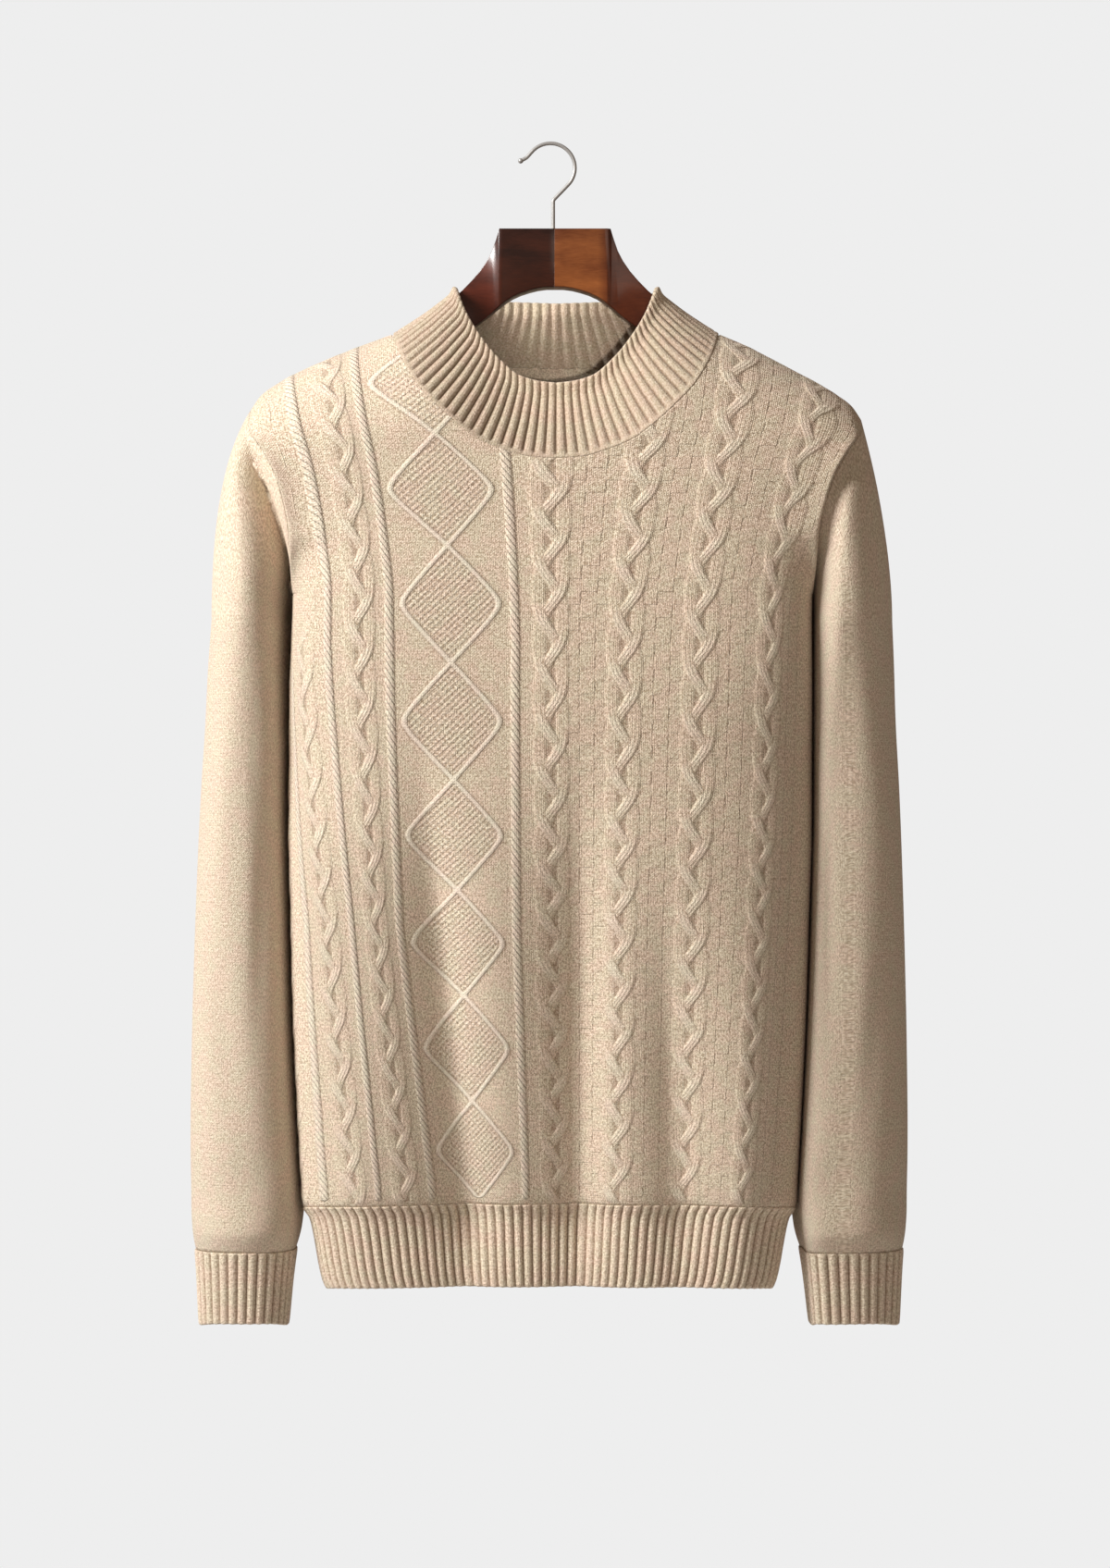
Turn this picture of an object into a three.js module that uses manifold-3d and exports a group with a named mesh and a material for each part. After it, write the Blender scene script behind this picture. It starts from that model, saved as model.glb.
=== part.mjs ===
// Mock neck sweater with ribbed bands, hanging on a two-piece wooden hanger with a wire hook.
//
// Millimetres. +Z is up, the front faces -Y, and X grows to the right of someone facing the front.
// The origin is the inside of the hook's crown, where a wardrobe rod bears.
// Cloth pieces are walls: an outer grid of points, and the same grid moved in by the knit's thickness.

import * as THREE from "three";
import { mergeVertices } from "three/addons/utils/BufferGeometryUtils.js";
import Module from "manifold-3d";

const wasm = await Module();
wasm.setup();

// ---- Driving dimensions ------------------------------------------------------------------------

const KNIT = 3; // thickness of the knitted wall
const SHOULDER_HALF_WIDTH = 217; // shoulder point, at the top of the armhole
const NECK_HALF_WIDTH = 115.8; // where the shoulder seam meets the collar
const SEAM_GAP = 0.3; // clearance between pieces that are linked together
const HALF_SEAM = SEAM_GAP / 2;

const ARMHOLE_TOP = -193;
const ARMHOLE_BOTTOM = -322;
const ARMHOLE_HALF_DEPTH = 58;
const HEM_SEAM = -757.7;
const HEM_BOTTOM = -816;
const CUFF_SEAM = -787;
const CUFF_BOTTOM = -841.5;

const SECTION_SQUARENESS = 2.6; // exponent of the body's section: 2 is an ellipse, more is squarer
const SHOULDER_WRAP = 90; // height in which the front falls from the shoulder seam to full depth
const BACK_WRAP = 65; // the same height on the back, which is fuller under its neckline
const ARMHOLE_WRAP = (ARMHOLE_TOP - ARMHOLE_BOTTOM) / 2;
const ARMHOLE_STEPS = 9; // grid rows from the armpit to the shoulder, shared by body and sleeve
const EDGE_FADE = 3; // power with which the armhole's round dies away towards the body's middle
const TOP_EDGE_PASSES = 40; // rounds of settling each column's top on the shoulder or neckline

// The garment hangs a little out of true: its centre line at each height.
const LEAN = [
  { z: -842, x: -0.7 },
  { z: -757, x: -0.7 },
  { z: -411, x: 0.3 },
  { z: -230, x: 3.4 },
  { z: -190, x: 4 },
  { z: -60, x: 4 },
];

// Body below the shoulders: half its width, and its depth in front of and behind the side seams.
const BODY = [
  { z: -816, half: 158, front: 52, back: 49 },
  { z: -811, half: 160.4, front: 52.5, back: 49.5 },
  { z: -799, half: 163.4, front: 53.5, back: 50 },
  { z: -780, half: 166.7, front: 55, back: 52 },
  { z: -764, half: 170.5, front: 57, back: 54 },
  { z: -757, half: 175.4, front: 60, back: 57 },
  { z: -735, half: 177, front: 63, back: 59 },
  { z: -677, half: 180, front: 68, back: 62 },
  { z: -618, half: 182.6, front: 73, back: 64 },
  { z: -541, half: 184.6, front: 78, back: 67 },
  { z: -490, half: 186, front: 80, back: 69 },
  { z: -411, half: 185.6, front: 80, back: 71 },
  { z: -322, half: 183.8, front: 78, back: 74 },
  { z: -303, half: 185.8, front: 77, back: 75 },
  { z: -279, half: 188, front: 75, back: 76 },
  { z: -259, half: 191.9, front: 74, back: 77 },
  { z: -238, half: 197, front: 73, back: 78 },
  { z: -223, half: 204.6, front: 72, back: 79 },
  { z: -203, half: 216.5, front: 72, back: 80 },
  { z: -193, half: 217, front: 72, back: 80 },
];

// The line of the shoulder seam, carried on across the neck hole.
const SHOULDER = [
  { x: 0, z: -112 },
  { x: 60, z: -116 },
  { x: 100, z: -128 },
  { x: NECK_HALF_WIDTH, z: -135 },
  { x: 137.6, z: -144.5 },
  { x: 166, z: -157 },
  { x: 185, z: -168 },
  { x: 200, z: -177 },
  { x: 210, z: -185 },
  { x: SHOULDER_HALF_WIDTH, z: ARMHOLE_TOP },
];

const FRONT_NECKLINE = [
  { x: 0, z: -228.8 },
  { x: 18.5, z: -227.5 },
  { x: 36, z: -222.6 },
  { x: 52.8, z: -215.7 },
  { x: 69.2, z: -203.7 },
  { x: 84.6, z: -189.4 },
  { x: 97.6, z: -175 },
  { x: 106.4, z: -160.3 },
  { x: 112, z: -147.5 },
  { x: NECK_HALF_WIDTH, z: -135 },
];
const BACK_NECKLINE = [
  { x: 0, z: -151 },
  { x: 40, z: -150 },
  { x: 70, z: -148 },
  { x: 94, z: -144.5 },
  { x: 107, z: -140 },
  { x: NECK_HALF_WIDTH, z: -135 },
];

// Top edge of the collar: an oval that dips at the front.
const COLLAR_TOP_HALF_WIDTH = 72.7;
const COLLAR_TOP_FRONT = 52;
const COLLAR_TOP_BACK = 55;
// How far the collar curves in between its base and its top edge.
const COLLAR_RISE = [
  { share: 0, hollow: 0 },
  { share: 0.25, hollow: 2.6 },
  { share: 0.5, hollow: 4.4 },
  { share: 0.78, hollow: 4.8 },
  { share: 1, hollow: 0 },
];
const FRONT_COLLAR_TOP = [
  { x: 0, z: -174.2 },
  { x: 11.8, z: -172.8 },
  { x: 25.6, z: -168.6 },
  { x: 40.2, z: -156.3 },
  { x: 51.8, z: -142 },
  { x: 62.4, z: -125 },
  { x: 68, z: -113 },
  { x: 71.5, z: -104.5 },
  { x: COLLAR_TOP_HALF_WIDTH, z: -101.6 },
];
const BACK_COLLAR_TOP = [
  { x: 0, z: -107 },
  { x: 40, z: -105.5 },
  { x: COLLAR_TOP_HALF_WIDTH, z: -101.6 },
];

// Sleeve below its head: outer and inner edge beside the body, and half its depth front to back.
const SLEEVE_HEAD_END = -340;
const SLEEVE = [
  { z: CUFF_BOTTOM, outer: 249.5, inner: 186.5, halfDepth: 28 },
  { z: CUFF_SEAM, outer: 252.5, inner: 181.5, halfDepth: 35 },
  { z: -772, outer: 254.5, inner: 179.5, halfDepth: 41 },
  { z: -757, outer: 255.5, inner: 179.2, halfDepth: 44 },
  { z: -704, outer: 255.8, inner: 181, halfDepth: 47 },
  { z: -640, outer: 255, inner: 184, halfDepth: 51 },
  { z: -580, outer: 253.5, inner: 186, halfDepth: 55 },
  { z: -520, outer: 251.5, inner: 187.6, halfDepth: 58 },
  { z: -462, outer: 249, inner: 189, halfDepth: 61 },
  { z: -411, outer: 246, inner: 188.4, halfDepth: 64 },
  { z: -372, outer: 244.4, inner: 187.6, halfDepth: 65 },
  { z: SLEEVE_HEAD_END, outer: 242.5, inner: 187.2, halfDepth: 66 },
];
const SLEEVE_HEAD_ROWS = 5;
const SLEEVE_HEAD_SLOPE = new THREE.Vector3(0.5, 0, -0.86); // way the cloth leaves the armhole
const HEAD_FOLD = { depth: 12, middle: 112, spread: 34 }; // crease beside the armhole, in degrees

// Soft vertical folds in the lower body: the valley's place, where it fades out, and its size.
const FRONT_FOLDS = [
  { x: -89, top: -520, halfWidth: 22, depth: 12 },
  { x: 16, top: -440, halfWidth: 24, depth: 14 },
  { x: 82, top: -520, halfWidth: 19, depth: 11 },
  { x: 160, top: -480, halfWidth: 17, depth: 7 },
];
const BACK_FOLDS = [
  { x: -104, top: -450, halfWidth: 26, depth: 10 },
  { x: -28, top: -520, halfWidth: 22, depth: 9 },
  { x: 48, top: -420, halfWidth: 27, depth: 12 },
  { x: 122, top: -500, halfWidth: 20, depth: 8 },
];

// Grid columns of a body panel, as fractions of its half width, and its rows below the armpit.
const NECK_COLUMNS = [0, 0.09, 0.18, 0.265, 0.35, 0.425, 0.485, 0.518, 0.5313];
const NECK_CORNER = NECK_HALF_WIDTH / SHOULDER_HALF_WIDTH;
const SHOULDER_COLUMNS = [0.61, 0.69, 0.77, 0.84, 0.9, 0.95, 0.98, 1];
const HALF_COLUMNS = [...NECK_COLUMNS, NECK_CORNER, ...SHOULDER_COLUMNS];
const LOWER_ROWS = [HEM_SEAM + HALF_SEAM, -700, -635, -565, -490, -411, -360];
const HEM_ROWS = [HEM_BOTTOM, -780, HEM_SEAM - HALF_SEAM];

// Hanger: its outline to one side of its middle, and half its thickness front to back.
const HANGER_MIDDLE_X = 4;
const HANGER_JOINT_X = 2.6; // the halves are glued here, round the hook's shank
const HANGER_FLAT_TOP = -60.7;
const HANGER = [
  { x: 0, top: HANGER_FLAT_TOP, bottom: -101, halfThick: 11 },
  { x: 18, top: HANGER_FLAT_TOP, bottom: -103, halfThick: 11 },
  { x: 33, top: HANGER_FLAT_TOP, bottom: -108, halfThick: 11.2 },
  { x: 39.5, top: HANGER_FLAT_TOP, bottom: -112, halfThick: 11.3 },
  { x: 45, top: -75, bottom: -116.5, halfThick: 11.5 },
  { x: 50, top: -86, bottom: -121, halfThick: 11.8 },
  { x: 58, top: -96, bottom: -128.5, halfThick: 12.2 },
  { x: 65, top: -103, bottom: -133, halfThick: 12.6 },
  { x: 70, top: -108, bottom: -136, halfThick: 13 },
  { x: 82, top: -118.4, bottom: -143, halfThick: 13.8 },
  { x: 94, top: -126.8, bottom: -149, halfThick: 14.6 },
  { x: 112, top: -138, bottom: -158, halfThick: 15.4 },
  { x: 137.6, top: -149, bottom: -169, halfThick: 16.6 },
  { x: 166, top: -161.6, bottom: -182, halfThick: 17.8 },
  { x: 185, top: -172.8, bottom: -190, halfThick: 18.4 },
  { x: 198, top: -180.8, bottom: -196.5, halfThick: 17.5 },
  { x: 204.5, top: -185.6, bottom: -197.5, halfThick: 14.5 },
  { x: 208, top: -189.4, bottom: -195.8, halfThick: 8 },
];
const HANGER_SIDES = 16;
const HANGER_BLOCK = { end: 39.5, squareness: 7 }; // the middle block is nearly square in section
const HANGER_ARM = { start: 82, squareness: 1.9 }; // the arms are oval in section

// Hook: wire bent in the XZ plane.
const WIRE_RADIUS = 1.35;
const WIRE_SIDES = 10;
const WIRE_STEPS = 84;
const CROWN_RADIUS = 17.5;
const CROWN_MIDDLE = { x: 0, z: WIRE_RADIUS - CROWN_RADIUS };
const CROWN_START = 138; // degrees round the crown's middle, from the tip's side
const CROWN_END = -10;
const CROWN_STEP = 14.8; // degrees between the guide points of the bend
const HOOK_BALL = { radius: 1.75, sides: 14, rows: 10 }; // melted end of the wire
const SHANK_X = 2;
const HOOK_TIP = [
  { x: -21.3, z: -11.7 },
  { x: -18.8, z: -11 },
  { x: -16.2, z: -8.7 },
];
const HOOK_NECK = [
  { x: 15.4, z: -27 },
  { x: 9.2, z: -33.7 },
  { x: 3.9, z: -39.4 },
  { x: SHANK_X, z: -44.5 },
  { x: SHANK_X, z: -64 },
  { x: SHANK_X, z: -84 },
];
const SHANK_HOLE = { bottom: -84.3, top: HANGER_FLAT_TOP + 4, sides: 16 }; // cut from above the block

const FINISHES = {
  knit: { color: 0xcbb390, roughness: 0.95, metalness: 0 },
  rib: { color: 0xc6ad89, roughness: 0.95, metalness: 0 },
  wood: { color: 0x4a2416, roughness: 0.28, metalness: 0 },
  wire: { color: 0xc9c9cb, roughness: 0.18, metalness: 1 },
};

// ---- Helpers -----------------------------------------------------------------------------------

// Value of a table's column at a place along another column, in straight lines between its rows.
function readTable(table, along, place, column) {
  const rising = table[0][along] < table[table.length - 1][along];
  const rows = rising ? table : [...table].reverse();
  const clamped = THREE.MathUtils.clamp(place, rows[0][along], rows[rows.length - 1][along]);
  const next = Math.max(1, rows.findIndex((row) => row[along] >= clamped));
  const low = rows[next - 1];
  const high = rows[next];
  const share = (clamped - low[along]) / (high[along] - low[along]);
  return THREE.MathUtils.lerp(low[column], high[column], share);
}

function leanAt(z) {
  return readTable(LEAN, "z", z, "x");
}

// The grid moved in along its own normals; settle keeps a moved point on its side of the seams.
function innerGrid(outer, isTube, settle) {
  const rows = outer.length;
  const columns = outer[0].length;
  const pointAt = (row, column) => outer[row][(column + columns) % columns];
  return outer.map((line, row) => line.map((point, column) => {
    const before = isTube ? column - 1 : Math.max(0, column - 1);
    const after = isTube ? column + 1 : Math.min(columns - 1, column + 1);
    const across = pointAt(row, after).clone().sub(pointAt(row, before));
    const up = pointAt(Math.min(rows - 1, row + 1), column).clone();
    up.sub(pointAt(Math.max(0, row - 1), column));
    const inward = up.cross(across).normalize();
    return settle(point.clone().addScaledVector(inward, KNIT));
  }));
}

// Closed wall between two grids of the same size. Seen from outside, columns run to the right
// while rows run up, or columns run to the left while rows run down.
function wallGeometry(outer, inner, isTube) {
  const rows = outer.length;
  const columns = outer[0].length;
  const cells = isTube ? columns : columns - 1;
  const top = rows - 1;
  const right = columns - 1;
  const positions = [outer, inner].flat(2).flatMap((point) => [point.x, point.y, point.z]);
  const index = [];
  const outside = (row, column) => row * columns + (column % columns);
  const inside = (row, column) => rows * columns + outside(row, column);
  const quad = (a, b, c, d) => index.push(a, b, c, a, c, d);
  for (let column = 0; column < cells; column += 1) {
    const next = column + 1;
    for (let row = 0; row < top; row += 1) {
      quad(outside(row, column), outside(row, next), outside(row + 1, next), outside(row + 1, column));
      quad(inside(row, column), inside(row + 1, column), inside(row + 1, next), inside(row, next));
    }
    quad(outside(0, column), inside(0, column), inside(0, next), outside(0, next));
    quad(outside(top, column), outside(top, next), inside(top, next), inside(top, column));
  }
  for (let row = 0; row < top && !isTube; row += 1) {
    quad(outside(row, 0), outside(row + 1, 0), inside(row + 1, 0), inside(row, 0));
    quad(outside(row, right), inside(row, right), inside(row + 1, right), outside(row + 1, right));
  }
  const geometry = new THREE.BufferGeometry();
  geometry.setAttribute("position", new THREE.Float32BufferAttribute(positions, 3));
  geometry.setIndex(index);
  geometry.computeVertexNormals();
  return geometry;
}

function solidFrom(geometry) {
  const bare = geometry.clone();
  bare.deleteAttribute("normal");
  bare.deleteAttribute("uv");
  const merged = mergeVertices(bare);
  return new wasm.Manifold(new wasm.Mesh({
    numProp: 3,
    vertProperties: new Float32Array(merged.attributes.position.array),
    triVerts: new Uint32Array(merged.index.array),
  }));
}

function geometryFrom(solid) {
  const mesh = solid.getMesh();
  const geometry = new THREE.BufferGeometry();
  geometry.setAttribute("position", new THREE.BufferAttribute(mesh.vertProperties, 3));
  geometry.setIndex(new THREE.BufferAttribute(mesh.triVerts, 1));
  geometry.computeVertexNormals();
  return geometry;
}

function addPiece(group, name, geometry, finish) {
  const mesh = new THREE.Mesh(geometry, new THREE.MeshStandardMaterial(FINISHES[finish]));
  mesh.name = name;
  group.add(mesh);
}

// ---- Body: front and back panels with their hem bands -------------------------------------------

const FRONT = {
  facing: -1,
  depth: "front",
  wrap: SHOULDER_WRAP,
  folds: FRONT_FOLDS,
  neckline: FRONT_NECKLINE,
};
const BACK = {
  facing: 1,
  depth: "back",
  wrap: BACK_WRAP,
  folds: BACK_FOLDS,
  neckline: BACK_NECKLINE,
};

// Depth of the panel's own edge: the round of the armhole, and nothing at the side seam.
function edgeDepth(z) {
  const middle = ARMHOLE_BOTTOM + ARMHOLE_WRAP;
  if (z >= middle) return ARMHOLE_HALF_DEPTH;
  const fall = Math.min(1, (middle - z) / ARMHOLE_WRAP);
  return ARMHOLE_HALF_DEPTH * Math.sqrt(1 - fall * fall);
}

function foldDepth(side, x, z) {
  return side.folds.reduce((sum, fold) => {
    const growth = THREE.MathUtils.smoothstep(fold.top - z, 0, fold.top - HEM_SEAM);
    return sum + fold.depth * growth * Math.exp(-(((x - fold.x) / fold.halfWidth) ** 2));
  }, 0);
}

// Point of a body panel, from its fraction of the half width and its height.
function bodyPoint(side, fraction, z) {
  const half = readTable(BODY, "z", z, "half");
  const x = fraction * half;
  const distance = Math.abs(x);
  const roundness = (1 - Math.abs(fraction) ** SECTION_SQUARENESS) ** (1 / SECTION_SQUARENESS);
  const edge = edgeDepth(z) * (1 - roundness) * Math.abs(fraction) ** EDGE_FADE;
  const fullness = edge + readTable(BODY, "z", z, side.depth) * roundness;
  const towardsArmhole = THREE.MathUtils.smoothstep(distance, NECK_HALF_WIDTH, SHOULDER_HALF_WIDTH);
  const wrap = THREE.MathUtils.lerp(side.wrap, ARMHOLE_WRAP, towardsArmhole);
  const below = Math.max(0, readTable(SHOULDER, "x", distance, "z") - z);
  const fall = 1 - Math.min(1, below / wrap);
  const depth = fullness * Math.sqrt(1 - fall * fall) - foldDepth(side, x, z) * roundness;
  const y = side.facing * Math.max(HALF_SEAM, depth);
  return new THREE.Vector3(leanAt(z) + x, y, z);
}

// Height of the panel's top edge on a column, which leans out as the panel widens.
function panelTop(side, fraction) {
  let z = ARMHOLE_TOP;
  for (let pass = 0; pass < TOP_EDGE_PASSES; pass += 1) {
    const x = Math.abs(fraction) * readTable(BODY, "z", z, "half");
    const isNeck = x < NECK_HALF_WIDTH;
    const target = readTable(isNeck ? side.neckline : SHOULDER, "x", x, "z");
    z = (z + target) / 2;
  }
  return z;
}

// Columns as seen from outside: left to right on the front, and from +X to -X on the back.
function columnsFor(side, halfColumns) {
  const left = [...halfColumns].reverse().map((fraction) => -fraction);
  const columns = [...left, ...halfColumns.slice(1)];
  return side.facing < 0 ? columns : columns.reverse();
}

function settleBody(side, lowest, highest) {
  return (point) => {
    point.y = side.facing * Math.max(HALF_SEAM, side.facing * point.y);
    point.z = THREE.MathUtils.clamp(point.z, lowest, highest);
    return point;
  };
}

function panelGrid(side) {
  const columns = columnsFor(side, HALF_COLUMNS);
  const lower = LOWER_ROWS.map((z) => columns.map((fraction) => bodyPoint(side, fraction, z)));
  const upper = [];
  for (let step = 0; step <= ARMHOLE_STEPS; step += 1) {
    const share = (1 - Math.cos((Math.PI * step) / ARMHOLE_STEPS)) / 2;
    upper.push(columns.map((fraction) => {
      const z = THREE.MathUtils.lerp(ARMHOLE_BOTTOM, panelTop(side, fraction), share);
      return bodyPoint(side, fraction, z);
    }));
  }
  return [...lower, ...upper];
}

function panelWall(side) {
  const outer = panelGrid(side);
  const inner = innerGrid(outer, false, settleBody(side, LOWER_ROWS[0], 0));
  return { outer, inner };
}

// The two panels meet the collar in one corner on each shoulder, so their inner faces agree there.
function matchNeckCorners(frontWall, backWall) {
  const frontEdge = frontWall.inner[frontWall.inner.length - 1];
  const backEdge = backWall.inner[backWall.inner.length - 1];
  const middle = HALF_COLUMNS.length - 1;
  for (const offset of [-NECK_COLUMNS.length, NECK_COLUMNS.length]) {
    const front = frontEdge[middle + offset];
    const back = backEdge[middle - offset];
    for (const axis of ["x", "z"]) {
      const agreed = (front[axis] + back[axis]) / 2;
      front[axis] = agreed;
      back[axis] = agreed;
    }
  }
}

function hemGeometry(side) {
  const columns = columnsFor(side, HALF_COLUMNS);
  const outer = HEM_ROWS.map((z) => columns.map((fraction) => bodyPoint(side, fraction, z)));
  const settle = settleBody(side, HEM_BOTTOM, HEM_SEAM - HALF_SEAM);
  return wallGeometry(outer, innerGrid(outer, false, settle), false);
}

// ---- Collar -------------------------------------------------------------------------------------

// Neckline vertices of a panel with the same vertices of its inner face, in the panel's own order.
function necklineOf(wall) {
  const middle = HALF_COLUMNS.length - 1;
  const start = middle - NECK_COLUMNS.length;
  const end = middle + NECK_COLUMNS.length + 1;
  const outer = wall.outer[wall.outer.length - 1].slice(start, end);
  const inner = wall.inner[wall.inner.length - 1].slice(start, end);
  return outer.map((point, column) => ({ outer: point, inner: inner[column] }));
}

function collarTopPoint(base) {
  const isFront = base.y < 0;
  const across = (base.x - leanAt(base.z)) / NECK_HALF_WIDTH;
  const share = THREE.MathUtils.clamp(across, -1, 1);
  const x = COLLAR_TOP_HALF_WIDTH * share;
  const table = isFront ? FRONT_COLLAR_TOP : BACK_COLLAR_TOP;
  const z = readTable(table, "x", Math.abs(x), "z");
  const reach = isFront ? -COLLAR_TOP_FRONT : COLLAR_TOP_BACK;
  const roundness = (1 - Math.abs(share) ** SECTION_SQUARENESS) ** (1 / SECTION_SQUARENESS);
  return new THREE.Vector3(leanAt(z) + x, reach * roundness, z);
}

function collarGeometry(frontWall, backWall) {
  const front = necklineOf(frontWall);
  const back = necklineOf(backWall).slice(1, -1);
  const base = [...front, ...back];
  for (const corner of [front[0], front[front.length - 1]]) {
    corner.outer = corner.outer.clone().setY(0);
    corner.inner = corner.inner.clone().setY(0);
  }
  const outer = COLLAR_RISE.map(({ share, hollow }) => base.map((seam) => {
    const top = collarTopPoint(seam.outer);
    const rise = top.clone().sub(seam.outer);
    const start = seam.outer.clone().addScaledVector(rise.normalize(), SEAM_GAP);
    const inward = new THREE.Vector3(leanAt(start.z) - start.x, -start.y, 0).normalize();
    return start.lerp(top, share).addScaledVector(inward, hollow);
  }));
  const inner = innerGrid(outer, true, (point) => point);
  inner[0] = base.map((seam, column) => outer[0][column].clone().add(seam.inner).sub(seam.outer));
  return wallGeometry(outer, inner, true);
}

// ---- Sleeves and cuffs --------------------------------------------------------------------------

// A sleeve is knitted in one. It is parted at the armpit here, into its curved head and its tube.

// Angles run from the outer edge, over the front, to the inner edge, and back behind.
function sleeveAngles(hand) {
  const count = 2 * ARMHOLE_STEPS;
  const angles = Array.from({ length: count }, (_, step) => (Math.PI * step) / ARMHOLE_STEPS);
  return hand > 0 ? angles : angles.reverse();
}

function sleevePoint(hand, angle, z) {
  const outer = readTable(SLEEVE, "z", z, "outer");
  const inner = readTable(SLEEVE, "z", z, "inner");
  const x = (outer + inner) / 2 + ((outer - inner) / 2) * Math.cos(angle);
  const y = -readTable(SLEEVE, "z", z, "halfDepth") * Math.sin(angle);
  return new THREE.Vector3(leanAt(z) + hand * x, y, z);
}

function armholePoint(hand, angle) {
  const z = ARMHOLE_BOTTOM + ARMHOLE_WRAP * (1 + Math.cos(angle));
  const x = readTable(BODY, "z", z, "half") + SEAM_GAP;
  return new THREE.Vector3(leanAt(z) + hand * x, -ARMHOLE_HALF_DEPTH * Math.sin(angle), z);
}

// The head leaves the armhole sideways and turns down into the hanging sleeve.
function sleeveHeadPoint(hand, angle, share) {
  const start = armholePoint(hand, angle);
  const end = sleevePoint(hand, angle, SLEEVE_HEAD_END);
  const length = start.z - end.z;
  const leave = SLEEVE_HEAD_SLOPE.clone().multiplyScalar(length);
  leave.x *= hand;
  const arrive = new THREE.Vector3(0, 0, -length);
  const square = share * share;
  const cube = square * share;
  const point = start.multiplyScalar(2 * cube - 3 * square + 1);
  point.addScaledVector(leave, cube - 2 * square + share);
  point.addScaledVector(end, 3 * square - 2 * cube);
  point.addScaledVector(arrive, cube - square);
  const turned = Math.abs(THREE.MathUtils.radToDeg(angle) - 180);
  const offMiddle = (180 - turned - HEAD_FOLD.middle) / HEAD_FOLD.spread;
  const fold = HEAD_FOLD.depth * Math.sin(Math.PI * share) * Math.exp(-offMiddle * offMiddle);
  point.y -= Math.sign(point.y) * Math.min(fold, Math.abs(point.y) / 2);
  return point;
}

function settleSleeve(hand, lowest, highest) {
  return (point) => {
    if (point.z > ARMHOLE_BOTTOM) {
      const seam = readTable(BODY, "z", point.z, "half") + SEAM_GAP;
      const lean = leanAt(point.z);
      point.x = lean + hand * Math.max(seam, hand * (point.x - lean));
    }
    point.z = THREE.MathUtils.clamp(point.z, lowest, highest);
    return point;
  };
}

function sleeveHeadGeometry(hand) {
  const angles = sleeveAngles(hand);
  const outer = [];
  for (let row = 0; row < SLEEVE_HEAD_ROWS; row += 1) {
    const share = row / SLEEVE_HEAD_ROWS;
    outer.push(angles.map((angle) => sleeveHeadPoint(hand, angle, share)));
  }
  const lowest = SLEEVE_HEAD_END + HALF_SEAM;
  outer.push(angles.map((angle) => sleevePoint(hand, angle, lowest)));
  return wallGeometry(outer, innerGrid(outer, true, settleSleeve(hand, lowest, ARMHOLE_TOP)), true);
}

function sleeveGeometry(hand) {
  const angles = sleeveAngles(hand);
  const lowest = CUFF_SEAM + HALF_SEAM;
  const highest = SLEEVE_HEAD_END - HALF_SEAM;
  const between = SLEEVE.map((row) => row.z).filter((z) => z > CUFF_SEAM && z < SLEEVE_HEAD_END);
  const heights = [highest, ...between.reverse(), lowest];
  const outer = heights.map((z) => angles.map((angle) => sleevePoint(hand, angle, z)));
  return wallGeometry(outer, innerGrid(outer, true, settleSleeve(hand, lowest, highest)), true);
}

function cuffGeometry(hand) {
  const top = CUFF_SEAM - HALF_SEAM;
  const heights = [top, (top + CUFF_BOTTOM) / 2, CUFF_BOTTOM];
  const outer = heights.map((z) => sleeveAngles(hand).map((angle) => sleevePoint(hand, angle, z)));
  const settle = (point) => {
    point.z = THREE.MathUtils.clamp(point.z, CUFF_BOTTOM, top);
    return point;
  };
  return wallGeometry(outer, innerGrid(outer, true, settle), true);
}

// ---- Hanger and hook ----------------------------------------------------------------------------

// One half of the hanger: sections square to X, from the glued joint to the rounded end.
function hangerGeometry(hand, shankHole) {
  const sections = HANGER.map((row) => {
    const blend = THREE.MathUtils.smoothstep(row.x, HANGER_BLOCK.end, HANGER_ARM.start);
    const power = 2 / THREE.MathUtils.lerp(HANGER_BLOCK.squareness, HANGER_ARM.squareness, blend);
    const middle = (row.top + row.bottom) / 2;
    const reach = (row.top - row.bottom) / 2;
    const x = row.x > 0 ? HANGER_MIDDLE_X + hand * row.x : HANGER_JOINT_X + hand * HALF_SEAM;
    return Array.from({ length: HANGER_SIDES }, (_, step) => {
      const angle = (2 * Math.PI * step) / HANGER_SIDES;
      const y = row.halfThick * Math.sign(Math.cos(angle)) * Math.abs(Math.cos(angle)) ** power;
      const z = middle + reach * Math.sign(Math.sin(angle)) * Math.abs(Math.sin(angle)) ** power;
      return new THREE.Vector3(x, y, z);
    });
  });
  const rings = hand > 0 ? sections : [...sections].reverse();
  const positions = rings.flat().flatMap((point) => [point.x, point.y, point.z]);
  const index = [];
  const last = rings.length - 1;
  for (let side = 0; side < HANGER_SIDES; side += 1) {
    const next = (side + 1) % HANGER_SIDES;
    for (let ring = 0; ring < last; ring += 1) {
      const here = ring * HANGER_SIDES;
      const there = here + HANGER_SIDES;
      index.push(here + side, here + next, there + next, here + side, there + next, there + side);
    }
  }
  for (let side = 1; side < HANGER_SIDES - 1; side += 1) {
    const far = last * HANGER_SIDES;
    index.push(0, side + 1, side, far, far + side, far + side + 1);
  }
  const geometry = new THREE.BufferGeometry();
  geometry.setAttribute("position", new THREE.Float32BufferAttribute(positions, 3));
  geometry.setIndex(index);
  return geometryFrom(solidFrom(geometry).subtract(shankHole));
}

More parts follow.
